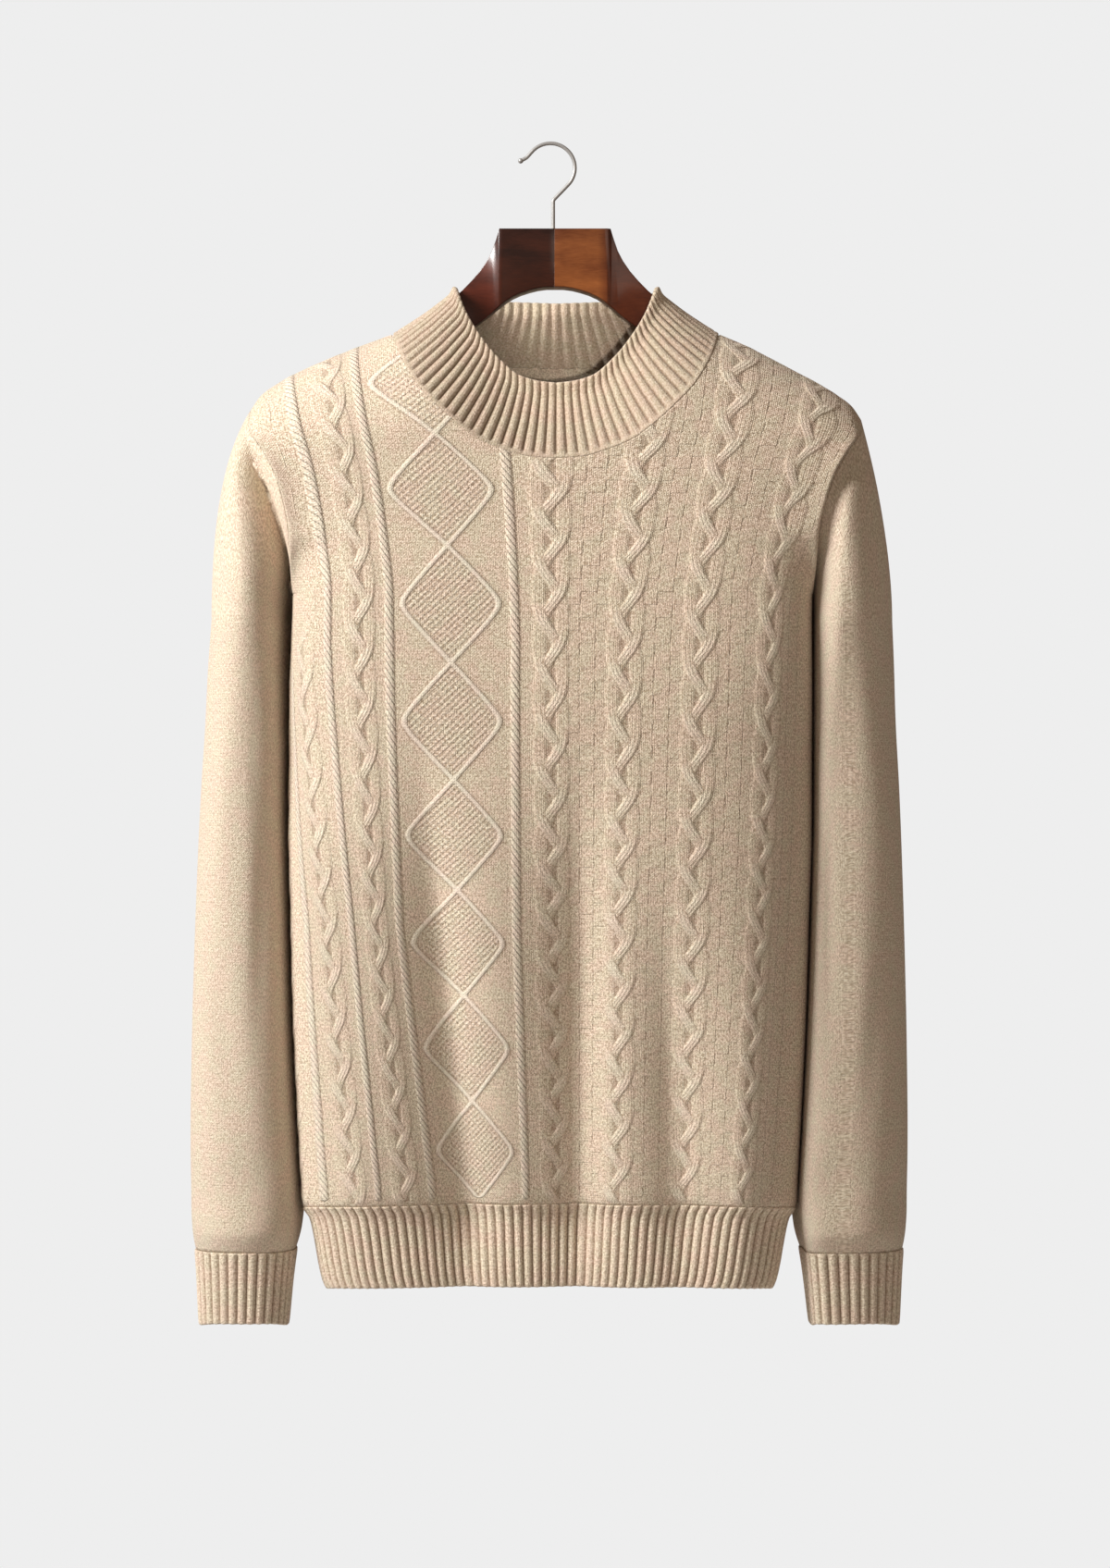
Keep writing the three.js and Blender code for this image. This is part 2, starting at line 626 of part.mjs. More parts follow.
function hookGeometry() {
  const points = HOOK_TIP.map((point) => new THREE.Vector3(point.x, 0, point.z));
  for (let degrees = CROWN_START; degrees >= CROWN_END; degrees -= CROWN_STEP) {
    const angle = THREE.MathUtils.degToRad(degrees);
    const x = CROWN_MIDDLE.x + CROWN_RADIUS * Math.cos(angle);
    points.push(new THREE.Vector3(x, 0, CROWN_MIDDLE.z + CROWN_RADIUS * Math.sin(angle)));
  }
  points.push(...HOOK_NECK.map((point) => new THREE.Vector3(point.x, 0, point.z)));
  const path = new THREE.CatmullRomCurve3(points, false, "centripetal");
  const section = new THREE.Shape();
  section.absarc(0, 0, WIRE_RADIUS, 0, 2 * Math.PI);
  const settings = { steps: WIRE_STEPS, curveSegments: WIRE_SIDES / 2, extrudePath: path };
  const wire = solidFrom(new THREE.ExtrudeGeometry(section, settings));
  const ball = new THREE.SphereGeometry(HOOK_BALL.radius, HOOK_BALL.sides, HOOK_BALL.rows);
  ball.translate(HOOK_TIP[0].x, 0, HOOK_TIP[0].z);
  return geometryFrom(wire.add(solidFrom(ball)));
}

function shankHoleSolid() {
  const length = SHANK_HOLE.top - SHANK_HOLE.bottom;
  const radius = WIRE_RADIUS + SEAM_GAP;
  const hole = new THREE.CylinderGeometry(radius, radius, length, SHANK_HOLE.sides);
  hole.rotateX(Math.PI / 2);
  hole.translate(SHANK_X, 0, SHANK_HOLE.bottom + length / 2);
  return solidFrom(hole);
}

// ---- The whole garment --------------------------------------------------------------------------

const sweater = new THREE.Group();
sweater.name = "sweater_on_hanger";

const frontWall = panelWall(FRONT);
const backWall = panelWall(BACK);
matchNeckCorners(frontWall, backWall);
addPiece(sweater, "front_panel", wallGeometry(frontWall.outer, frontWall.inner, false), "knit");
addPiece(sweater, "back_panel", wallGeometry(backWall.outer, backWall.inner, false), "knit");
addPiece(sweater, "hem_front", hemGeometry(FRONT), "rib");
addPiece(sweater, "hem_back", hemGeometry(BACK), "rib");
addPiece(sweater, "collar", collarGeometry(frontWall, backWall), "rib");

// The wearer's right arm is on the -X side.
for (const [side, hand] of [["right", -1], ["left", 1]]) {
  addPiece(sweater, `sleeve_${side}_head`, sleeveHeadGeometry(hand), "knit");
  addPiece(sweater, `sleeve_${side}`, sleeveGeometry(hand), "knit");
  addPiece(sweater, `cuff_${side}`, cuffGeometry(hand), "rib");
}

const shankHole = shankHoleSolid();
addPiece(sweater, "hanger_right_half", hangerGeometry(-1, shankHole), "wood");
addPiece(sweater, "hanger_left_half", hangerGeometry(1, shankHole), "wood");
addPiece(sweater, "hook", hookGeometry(), "wire");

export default sweater;
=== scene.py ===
"""Mock neck sweater in melange wool, hanging on a two-piece wooden hanger with a wire hook.

Every knitted piece is a thin shell built from a grid of points: an outer face with the stitches'
relief on it, and an inner face moved in by the knit's thickness. Sizes in the tables are in
millimetres and become metres when a mesh is made. +Z is up and the front faces -Y.
"""
import math

import bpy
import numpy as np
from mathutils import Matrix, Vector


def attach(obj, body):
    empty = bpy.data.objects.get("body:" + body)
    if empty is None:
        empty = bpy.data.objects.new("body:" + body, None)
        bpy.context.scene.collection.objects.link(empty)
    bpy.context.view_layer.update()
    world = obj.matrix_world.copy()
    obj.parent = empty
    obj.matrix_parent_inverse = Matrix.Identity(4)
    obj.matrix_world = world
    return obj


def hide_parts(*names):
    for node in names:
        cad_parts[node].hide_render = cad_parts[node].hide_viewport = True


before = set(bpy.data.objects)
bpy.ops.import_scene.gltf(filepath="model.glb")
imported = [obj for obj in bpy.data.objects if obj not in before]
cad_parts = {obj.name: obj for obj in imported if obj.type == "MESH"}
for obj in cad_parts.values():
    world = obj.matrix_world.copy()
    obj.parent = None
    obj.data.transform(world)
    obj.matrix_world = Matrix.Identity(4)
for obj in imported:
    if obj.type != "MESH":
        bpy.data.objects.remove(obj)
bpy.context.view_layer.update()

MM = 0.001

# ---- Sizes of the garment --------------------------------------------------------------------

SEAM_GAP = 0.16
HALF_SEAM = SEAM_GAP / 2
SHOULDER_HALF_WIDTH = 217.0
NECK_HALF_WIDTH = 115.8
ARMHOLE_TOP = -189.0
ARMHOLE_BOTTOM = -322.0
ARMHOLE_HALF_DEPTH = 58.0
ARMHOLE_WRAP = (ARMHOLE_TOP - ARMHOLE_BOTTOM) / 2
SHOULDER_DROP = 7.0  # how much lower the left shoulder lies than the right one
HEM_SEAM = -757.7
HEM_BOTTOM = -816.0
CUFF_SEAM = -787.0
CUFF_BOTTOM = -841.5
WAIST_SQUARENESS = 3.5
CHEST_SQUARENESS = 5.0
EDGE_FADE = 8
ARMPIT_FADE = 60
PLAIN_WALL = 2.2
RIB_WALL = 2.5
COLLAR_WALL = 2.8
FREE_EDGE_RADIUS = 1.6
RIB_PITCH = 6.3


def table(columns, rows):
    """A short table with named columns, each an array."""
    return dict(zip(columns.split(), np.array(rows, dtype=float).T))


LEAN = table("z x", [(-842, -0.7), (-757, -0.7), (-411, 0.3), (-230, 3.4), (-190, 4), (-60, 4)])
BODY = table("z half front back", [
    (-816, 158, 52, 49),
    (-811, 160.4, 52.5, 49.5),
    (-799, 163.4, 53.5, 50),
    (-780, 166.7, 55, 52),
    (-764, 170.5, 57, 54),
    (-757, 175.4, 60, 57),
    (-735, 177, 63, 59),
    (-677, 180, 68, 62),
    (-618, 182.6, 73, 64),
    (-541, 184.6, 78, 67),
    (-490, 186, 80, 69),
    (-411, 185.6, 80, 71),
    (-322, 183.8, 78, 74),
    (-303, 184.6, 77, 75),
    (-279, 185.6, 75, 76),
    (-259, 189.4, 74, 77),
    (-238, 196, 73, 78),
    (-223, 204.2, 72, 79),
    (-203, 216.5, 72, 80),
    (-189, 217, 72, 80),
])
SHOULDER = table("x z", [
    (0, -112), (60, -116), (100, -128), (NECK_HALF_WIDTH, -135), (137.6, -143), (166, -154.5),
    (185, -163), (200, -171.5), (210, -179), (SHOULDER_HALF_WIDTH, ARMHOLE_TOP),
])
FRONT_NECKLINE = table("x z", [
    (0, -228.8), (18.5, -227.5), (36, -222.6), (52.8, -215.7), (69.2, -203.7), (84.6, -189.4),
    (97.6, -175), (106.4, -160.3), (112, -147.5), (NECK_HALF_WIDTH, -135),
])
BACK_NECKLINE = table("x z", [
    (0, -151), (40, -150), (70, -148), (94, -144.5), (107, -140), (NECK_HALF_WIDTH, -135),
])
COLLAR_TOP_HALF_WIDTH = 72.7
FRONT_COLLAR_TOP = table("x z", [
    (0, -174.2), (11.8, -172.8), (25.6, -168.6), (40.2, -156.3), (51.8, -142), (62.4, -125),
    (68, -113), (71.5, -104.5), (COLLAR_TOP_HALF_WIDTH, -101.6),
])
BACK_COLLAR_TOP = table("x z", [(0, -107), (40, -105.5), (COLLAR_TOP_HALF_WIDTH, -101.6)])
COLLAR_RISE = table("share hollow", [(0, 0), (0.25, 2.6), (0.5, 4.4), (0.78, 4.8), (1, 0)])
SLEEVE_HEAD_END = -340.0
SLEEVE = table("z outer inner half_depth", [
    (CUFF_BOTTOM, 249.5, 186.5, 28),
    (CUFF_SEAM, 252.5, 181.2, 35),
    (-772, 254.5, 178.6, 41),
    (-757, 255.5, 177.2, 41.5),
    (-735, 255.7, 177.6, 42),
    (-704, 255.8, 179.2, 42.5),
    (-640, 255, 182.2, 44.5),
    (-580, 253.5, 184.2, 46.5),
    (-520, 251.5, 185.6, 48),
    (-462, 249, 186.6, 49.5),
    (-411, 246, 186.3, 51.5),
    (-372, 244.4, 185.6, 54),
    (SLEEVE_HEAD_END, 242.5, 185, 58),
])
SLEEVE_HEAD_SLOPE = (0.5, -0.86)  # way in which the sleeve leaves the armhole's front
SLEEVE_CROWN_SLOPE = {-1: (0.48, -0.74), 1: (0.22, -0.8)}  # its top
SLEEVE_ARMPIT_SLOPE = (0.0, -1.0)
# How each sleeve hangs: how square its section is beside the body and at the outside, how far its
# crest lies towards -X, and how much the sleeve is turned about itself.
SLEEVE_SET = {
    -1: dict(inner=2.0, outer=2.2, shift=-0.12, turn=0.0),
    1: dict(inner=4.0, outer=2.3, shift=0.12, turn=0.15),
}
SLEEVE_TUCK = table("z x", [(-840, 2.5), (-757, 5), (-372, 5), (-345, 4), (-300, 3)])  # behind the body

# Folds of the lower body: troughs are deep, ridges have a negative depth. Left and right are the
# half widths to either side of the fold's line.
FRONT_FOLDS = table("x left right depth top full tilt", [
    (-61, 32, 22, 23, -380, -600, -0.1),
    (20, 40, 22, 26, -390, -640, 0),
    (91, 26, 32, 17, -480, -700, -0.06),
    (-130, 18, 18, -3, -520, -757, 0),
    (134, 30, 22, -7, -450, -757, 0),
])
BACK_FOLDS = table("x left right depth top full tilt", [
    (-104, 26, 26, 10, -450, -757, 0.03),
    (-28, 22, 30, 10, -520, -757, 0),
    (48, 30, 24, 13, -420, -757, -0.04),
    (122, 20, 20, 8, -500, -757, 0),
    (-66, 18, 18, -4, -500, -757, 0),
    (86, 20, 16, -4, -480, -757, 0),
])

# The lift is how far the middle of the hem rides up.
FRONT = dict(facing=-1, depth="front", wrap=90.0, folds=FRONT_FOLDS, neckline=FRONT_NECKLINE, lift=6.0)
BACK = dict(facing=1, depth="back", wrap=65.0, folds=BACK_FOLDS, neckline=BACK_NECKLINE, lift=2.0)
CUFF_LIFT = 3.5
COLLAR_TOP = {-1: dict(reach=52.0, heights=FRONT_COLLAR_TOP), 1: dict(reach=55.0, heights=BACK_COLLAR_TOP)}

# ---- Reading tables and building grids ----------------------------------------------------------


def smooth_curve(places, values):
    """Monotone cubic through a table's rows, as a function of arrays."""
    order = np.argsort(places)
    x, y = np.asarray(places, float)[order], np.asarray(values, float)[order]
    step = np.diff(x)
    slope = np.diff(y) / step
    tangent = np.empty_like(y)
    tangent[0], tangent[-1] = slope[0], slope[-1]
    before, after = slope[:-1], slope[1:]
    same = before * after > 0
    weight_a, weight_b = 2 * step[1:] + step[:-1], step[1:] + 2 * step[:-1]
    harmonic = weight_a / np.where(same, before, 1) + weight_b / np.where(same, after, 1)
    mean = (weight_a + weight_b) / harmonic
    tangent[1:-1] = np.where(same, mean, 0)

    def read(at):
        at = np.clip(at, x[0], x[-1])
        cell = np.clip(np.searchsorted(x, at, side="right") - 1, 0, len(step) - 1)
        t = (at - x[cell]) / step[cell]
        rise = y[cell + 1] - y[cell]
        a = step[cell] * tangent[cell]
        b = step[cell] * tangent[cell + 1]
        return y[cell] + t * (a + t * (3 * rise - 2 * a - b + t * (a + b - 2 * rise)))

    return read


def reader(rows, along, column):
    return smooth_curve(rows[along], rows[column])


lean_at = reader(LEAN, "z", "x")
half_at = reader(BODY, "z", "half")
depth_at = {name: reader(BODY, "z", name) for name in ("front", "back")}
shoulder_at = reader(SHOULDER, "x", "z")


def smoothstep(value, low, high):
    t = np.clip((value - low) / (high - low), 0, 1)
    return t * t * (3 - 2 * t)


def mix(a, b, share):
    return a + (b - a) * share


def bump_shape(distance, reach):
    return np.exp(-((distance / reach) ** 2))


def roundness_at(fraction, squareness=WAIST_SQUARENESS):
    return np.clip(1 - np.abs(fraction) ** squareness, 0, None) ** (1 / squareness)


def edge_depth(z, wrap):
    fall = np.clip((ARMHOLE_BOTTOM + wrap - z) / wrap, 0, 1)
    return ARMHOLE_HALF_DEPTH * np.sqrt(1 - fall * fall)


def fold_depth(folds, x, z):
    total = 0
    fade = mix(1, 0.6, smoothstep(HEM_SEAM - z, 0, HEM_SEAM - HEM_BOTTOM))
    for place, left, right, depth, top, full, tilt in zip(*folds.values()):
        aside = x - place - tilt * (np.maximum(z, HEM_SEAM) + 737)
        reach = np.where(aside < 0, left, right)
        growth = smoothstep(top - z, 0, top - full)
        total = total + depth * growth * fade * np.exp(-((np.sqrt(aside * aside + 16) - 4) / reach) ** 1.2)
    return total


def shoulder_height(x):
    return shoulder_at(np.abs(x)) - SHOULDER_DROP * smoothstep(x, 110, 200)


def armhole_wrap(x):
    """Half of the armhole's height, on the side where x lies."""
    return ARMHOLE_WRAP - SHOULDER_DROP / 2 * (np.asarray(x) > 0)


def body_point(side, fraction, z):
    """Points of a body panel's base surface, from the fraction of its half width and the height."""
    half = half_at(z)
    x = fraction * half
    distance = np.abs(x)
    squareness = mix(WAIST_SQUARENESS, CHEST_SQUARENESS, smoothstep(z, -450, -330))
    roundness = roundness_at(fraction, squareness)
    fade = mix(ARMPIT_FADE, EDGE_FADE, smoothstep(z, ARMHOLE_BOTTOM, ARMHOLE_BOTTOM + 42))
    side_wrap = armhole_wrap(x)
    edge = edge_depth(z, side_wrap) * (1 - roundness) * np.abs(fraction) ** fade
    fullness = edge + depth_at[side["depth"]](z) * roundness
    wrap = mix(side["wrap"], side_wrap, smoothstep(distance, NECK_HALF_WIDTH, SHOULDER_HALF_WIDTH))
    below = np.clip(shoulder_height(x) - z, 0, None)
    fall = 1 - np.clip(below / wrap, 0, 1)
    depth = fullness * np.sqrt(1 - fall * fall) - fold_depth(side["folds"], x, z) * roundness
    y = side["facing"] * np.maximum(HALF_SEAM, depth)
    lift = side["lift"] * roundness * smoothstep(-z, 470, -HEM_SEAM)
    return np.stack(np.broadcast_arrays(lean_at(z) + x, y, z + lift), axis=-1)


def outward(grid, tube):
    """Unit normals of a grid whose columns run right and rows run up, seen from outside."""
    if tube:
        across = np.roll(grid, -1, axis=1) - np.roll(grid, 1, axis=1)
    else:
        across = np.gradient(grid, axis=1)
    up = np.gradient(grid, axis=0)
    normal = np.cross(across, up)
    return normal / np.maximum(np.linalg.norm(normal, axis=-1, keepdims=True), 1e-9)


def lengths_along(points, axis):
    """Running length along one axis of a grid, from zero."""
    step = np.linalg.norm(np.diff(points, axis=axis), axis=-1)
    start = np.zeros_like(np.take(step, [0], axis=axis))
    return np.concatenate([start, np.cumsum(step, axis=axis)], axis=axis)


def coarse_steps(count, step, tube):
    if tube:
        return list(range(0, count, step))
    return list(range(0, count - 1, step)) + [count - 1]


def shell(name, outer, inner, step, fabric, tube=False, masks=None):
    """Closed cloth piece. The inner face has every step-th point of the outer grid, and rims close
    the edges. Fabric holds each outer point's place in the knit, in millimetres."""
    rows, columns = outer.shape[:2]
    in_rows = coarse_steps(rows, step, False)
    in_columns = coarse_steps(columns, step, tube)
    inner = inner[np.ix_(in_rows, in_columns)]
    vertices = np.concatenate([outer.reshape(-1, 3), inner.reshape(-1, 3)]) * MM
    first_inner = rows * columns
    faces, corners = [], []

    def outside(row, column):
        return row * columns + column % columns

    def inside(i, j):
        return first_inner + i * len(in_columns) + j % len(in_columns)

    def place(row, column):
        return fabric[row, column]

    cells = columns if tube else columns - 1
    r, c = np.mgrid[0:rows - 1, 0:cells].reshape(2, -1)
    quads = np.stack([outside(r, c), outside(r, c + 1), outside(r + 1, c + 1), outside(r + 1, c)], axis=1)
    faces += quads.tolist()
    places = np.stack([place(r, c), place(r, c + 1), place(r + 1, c + 1), place(r + 1, c)], axis=1)
    corners.append(places.reshape(-1, 2))

    ends = in_columns + [columns] if tube else in_columns
    for i in range(len(in_rows) - 1):
        low, high = in_rows[i], in_rows[i + 1]
        for j in range(len(ends) - 1):
            left, right = ends[j], ends[j + 1]
            faces.append([inside(i, j), inside(i + 1, j), inside(i + 1, j + 1), inside(i, j + 1)])
            corners.append(fabric[[low, high, high, low], [left, left, right, right]])
    rim_from = len(faces)
    for j in range(len(ends) - 1):
        run = list(range(ends[j], ends[j + 1] + 1))
        for row, i, flip in ((0, 0, True), (rows - 1, len(in_rows) - 1, False)):
            loop = [outside(row, k) for k in run] + [inside(i, j + 1), inside(i, j)]
            spots = [fabric[row, k] for k in run] + [fabric[row, run[-1]], fabric[row, run[0]]]
            faces.append(loop[::-1] if flip else loop)
            corners.append(np.array(spots[::-1] if flip else spots))
    if not tube:
        for i in range(len(in_rows) - 1):
            run = list(range(in_rows[i], in_rows[i + 1] + 1))
            for column, j, flip in ((0, 0, False), (columns - 1, len(ends) - 1, True)):
                loop = [outside(k, column) for k in run] + [inside(i + 1, j), inside(i, j)]
                spots = [fabric[k, column] for k in run] + [fabric[run[-1], column], fabric[run[0], column]]
                faces.append(loop[::-1] if flip else loop)
                corners.append(np.array(spots[::-1] if flip else spots))

    mesh = bpy.data.meshes.new(name)
    mesh.from_pydata(vertices.tolist(), [], faces)
    layer = mesh.uv_layers.new(name="Fabric")
    layer.data.foreach_set("uv", np.concatenate(corners).astype(np.float32).ravel())
    for mask, values in (masks or {}).items():
        attribute = mesh.attributes.new(mask, "FLOAT", "POINT")
        full = np.zeros(len(vertices), np.float32)
        full[:first_inner] = np.asarray(values, np.float32).ravel()
        attribute.data.foreach_set("value", full)
    smooth = np.ones(len(faces), bool)
    smooth[rim_from:] = False
    mesh.polygons.foreach_set("use_smooth", smooth)
    mesh.validate()
    piece = bpy.data.objects.new(name, mesh)
    bpy.context.collection.objects.link(piece)
    return piece


# ---- The cable pattern of the front -------------------------------------------------------------

# Where each wale of the front lies at four heights, as a fraction of the half width.
WALES = table("wale chest upper waist hem", [
    (-238, -1, -1, -1, -1),
    (-211, -0.972, -0.984, -0.925, -0.898),
    (-187, -0.925, -0.948, -0.848, -0.777),
    (-163, -0.862, -0.845, -0.750, -0.681),
    (-138, -0.7325, -0.724, -0.657, -0.571),
    (-114, -0.645, -0.609, -0.569, -0.468),
    (-70, -0.409, -0.377, -0.345, -0.281),
    (-25, -0.180, -0.135, -0.126, -0.095),
    (0, -0.022, -0.003, 0.014, 0.029),
    (52, 0.32, 0.275, 0.263, 0.264),
    (105, 0.585, 0.559, 0.536, 0.538),
    (158, 0.858, 0.826, 0.795, 0.766),
    (190, 0.955, 0.93, 0.905, 0.885),
    (226, 1, 1, 1, 1),
])
WALE_HEIGHTS = {"chest": -200.0, "upper": -358.0, "waist": -556.0, "hem": -738.0}
# Half width that the wales follow: it opens evenly to the shoulders, without the armhole's swing.
WALE_SPREAD = table("z half", [
    (-816, 158), (-780, 166.7), (-757, 175.4), (-677, 180), (-541, 184.6), (-411, 185.6),
    (-322, 184.5), (-287, 189), (-234, 199.7), (-200, 210), (-153, 221.7), (-112, 226),
])
SPREAD_EDGE = 14  # power with which the outermost wales return to the panel's own edge
# Rows of knitting, counted in millimetres of fabric from the hem seam.
COURSES = table("z course", [
    (-757.7, 0), (-754.4, 3.7), (-683.1, 82.7), (-606.5, 161.7), (-530.3, 240.7),
    (-452.8, 319.7), (-371.3, 398.7), (-289.7, 477.7), (-210.5, 556.7), (-131.5, 635.7),
])
ARC_START = -290.0  # above this height the courses are counted along the surface
ARMHOLE_WALE = 190.0  # the wale that runs into the armhole seam
LAST_FULL_WALE = 163.0

ROPES = table("wale width", [(-211, 7.4), (-163, 6.9), (-114, 7.7), (-25, 7.2)])
PLAITS = table("wale phase", [
    (-235, 0.4), (-187, 0.2), (-138, 1.31), (0, 0.96), (52, 0.96), (105, 0.96), (158, 0.96),
])
PLAIT_PERIOD = 104.4  # of one strand: three lobes
PLAIT_SWING = 8.3
PLAIT_TURN = 1.4  # how quickly a strand crosses the middle
PLAIT_STRAND = 5.0
PLAIT_LOW = 0.45
PLAIT_HIGH = 0.85
PLAIT_PHASE = 0.9
PLAIT_POWER = 1.6  # how quickly a strand sinks away from the middle
PLAIT_IN_CLOTH = 0.36  # share of the height that the cloth itself takes, the rest is in the stitches
DIAMOND = dict(wale=-70.0, half_width=34.0, height=79.0, start=3.7, corner=0.12, line=1.7)
BASKET_MIDDLE = 26.0
BASKET_PERIOD = 52.7

spread_at = reader(WALE_SPREAD, "z", "half")


def wale_fraction(wale, z):
    """Fraction of the half width for each wale and height."""
    names = ["hem", "waist", "upper", "chest"]
    turns = [smooth_curve(WALES["wale"], np.arcsin(WALES[name]))(wale) for name in names]
    heights = [WALE_HEIGHTS[name] for name in names]
    z = np.clip(z, heights[0], heights[-1])
    angle = np.zeros(np.broadcast(wale, z).shape)
    for low in range(3):
        share = (z - heights[low]) / (heights[low + 1] - heights[low])
        inside = (share >= 0) & (share <= 1)
        angle = np.where(inside, mix(turns[low], turns[low + 1], share), angle)
    return np.sin(angle)


def panel_fraction(wale, z):
    """The same fraction, of the panel's own half width."""
    fraction = wale_fraction(wale, z)
    ratio = spread_at(z) / half_at(z)
    held = np.abs(fraction) ** SPREAD_EDGE
    return np.clip(mix(fraction * ratio, fraction, held), -1, 1)



def round_ridge(distance, half_width, squareness=2):
    return np.sqrt(np.clip(1 - np.abs(distance / half_width) ** squareness, 0, None))


def plait_relief(across, turn):
    """Three strands: each rises at the middle and sinks as it travels outwards and up."""
    relief = np.zeros_like(across)
    for strand in range(3):
        at = turn + 2 * np.pi * strand / 3
        middle = PLAIT_SWING * np.tanh(PLAIT_TURN * np.sin(at)) / np.tanh(PLAIT_TURN)
        top = PLAIT_LOW + PLAIT_HIGH * (0.5 + 0.5 * np.sin(2 * at + PLAIT_PHASE)) ** PLAIT_POWER
        relief = np.maximum(relief, top * round_ridge(across - middle, PLAIT_STRAND, 3.2))
    return relief


def diamond_line(course):
    """How far the two travelling lines stand from the diamond's middle."""
    phase = np.mod((course - DIAMOND["start"]) / DIAMOND["height"], 1)
    corner = DIAMOND["corner"]
    reach = np.hypot(1, corner)
    return DIAMOND["half_width"] * (reach - np.hypot(2 * phase - 1, corner)) / (reach - corner)


def front_pattern(wale, course, z):
    """Relief of the front in millimetres, and the measures that the fabric's material reads."""
    shown_beside = 1 - smoothstep(z, -385, -325) * (wale < -LAST_FULL_WALE - 12)
    relief = np.zeros_like(wale)
    rope, rope_side = np.full_like(wale, 20.0), np.zeros_like(wale)
    for middle, width in zip(ROPES["wale"], ROPES["width"]):
        distance = (wale - middle) * 7.2 / width
        rope_side = np.where(np.abs(distance) < rope, np.clip(distance, -9, 9), rope_side)
        rope = np.minimum(rope, np.abs(distance))
        relief += 0.4 * round_ridge(distance, 3.8) * shown_beside
    rope = rope + 20 * (1 - shown_beside)
    nearest = np.abs(wale[..., None] - PLAITS["wale"]).argmin(axis=-1)
    across = np.clip(wale - PLAITS["wale"][nearest], -20, 20)
    turn = 2 * np.pi * course / PLAIT_PERIOD + PLAITS["phase"][nearest]
    braid = shown_beside * smoothstep(17 - np.abs(across), 0, 1.5)
    relief += PLAIT_IN_CLOTH * plait_relief(across, turn) * braid
    aside = np.abs(wale - DIAMOND["wale"])
    line = np.clip((aside - diamond_line(course)) * 0.75, -9, 9)
    relief += 0.35 * round_ridge(line, DIAMOND["line"])
    moss = smoothstep(-line, 1.2, 2.6)
    relief += 0.25 * moss
    gap = np.mod(wale - BASKET_MIDDLE + BASKET_PERIOD / 2, BASKET_PERIOD) - BASKET_PERIOD / 2
    basket = (wale > 8) * smoothstep(13 - np.abs(gap), -0.5, 0.5)
    return relief, dict(rope=rope, rope_side=rope_side, moss=moss, basket=basket, braid=braid, across=across,
                        turn=turn, line=line)


# ---- Knitted pieces -----------------------------------------------------------------------------


def knit_columns(low, high, pitch, finer):
    """Wale positions, closer together near the places given with their reach and pitch."""
    probe = np.linspace(low, high, 6000)
    pitch_here = np.full_like(probe, pitch)
    for place, reach, fine_pitch in finer:
        pitch_here = np.where(np.abs(probe - place) < reach, fine_pitch, pitch_here)
    count = np.concatenate([[0], np.cumsum(np.diff(probe) / pitch_here[1:])])
    return np.interp(np.linspace(0, count[-1], int(count[-1]) + 1), count, probe)


def panel_tops(side, fraction_at):
    """Height of each column's top, on the neckline or the shoulder."""
    neckline = reader(side["neckline"], "x", "z")
    z = np.full(len(fraction_at(np.float64(ARMHOLE_TOP))), ARMHOLE_TOP)
    for _ in range(60):
        x = fraction_at(z) * half_at(z)
        top = np.where(np.abs(x) < NECK_HALF_WIDTH, neckline(np.abs(x)), shoulder_height(x))
        z = (z + top) / 2
    return z


def panel_heights(side, fraction_at, lower_rows, upper_rows):
    """Heights of a panel's grid: level rows to the armpit, then rows spaced along each column."""
    tops = panel_tops(side, fraction_at)
    low = np.linspace(HEM_SEAM + HALF_SEAM, ARMHOLE_BOTTOM, lower_rows)
    t = (1 - np.cos(np.pi * np.linspace(0, 1, 500))) / 2
    z = ARMHOLE_BOTTOM + t[:, None] * (tops - ARMHOLE_BOTTOM)[None, :]
    length = lengths_along(body_point(side, fraction_at(z), z), 0)
    share = np.linspace(0, 1, upper_rows + 1)[1:]
    upper = np.empty((upper_rows, len(tops)))
    for column in range(len(tops)):
        upper[:, column] = np.interp(share * length[-1, column], length[:, column], z[:, column])
    upper[-1] = tops
    lower = np.repeat(low[:, None], len(tops), axis=1)
    return np.concatenate([lower, upper])


def seam_dip(grid, reach=3.0, depth=0.6, sides=(True, True, True, True)):
    """The cloth sinks a little towards its seams: left, right, bottom, top."""
    along = lengths_along(grid, 1)
    up = lengths_along(grid, 0)
    distances = [along, along[:, -1:] - along, up, up[-1:] - up]
    dip = 0
    for wanted, distance in zip(sides, distances):
        if wanted:
            dip = dip + depth * bump_shape(distance, reach)
    return dip


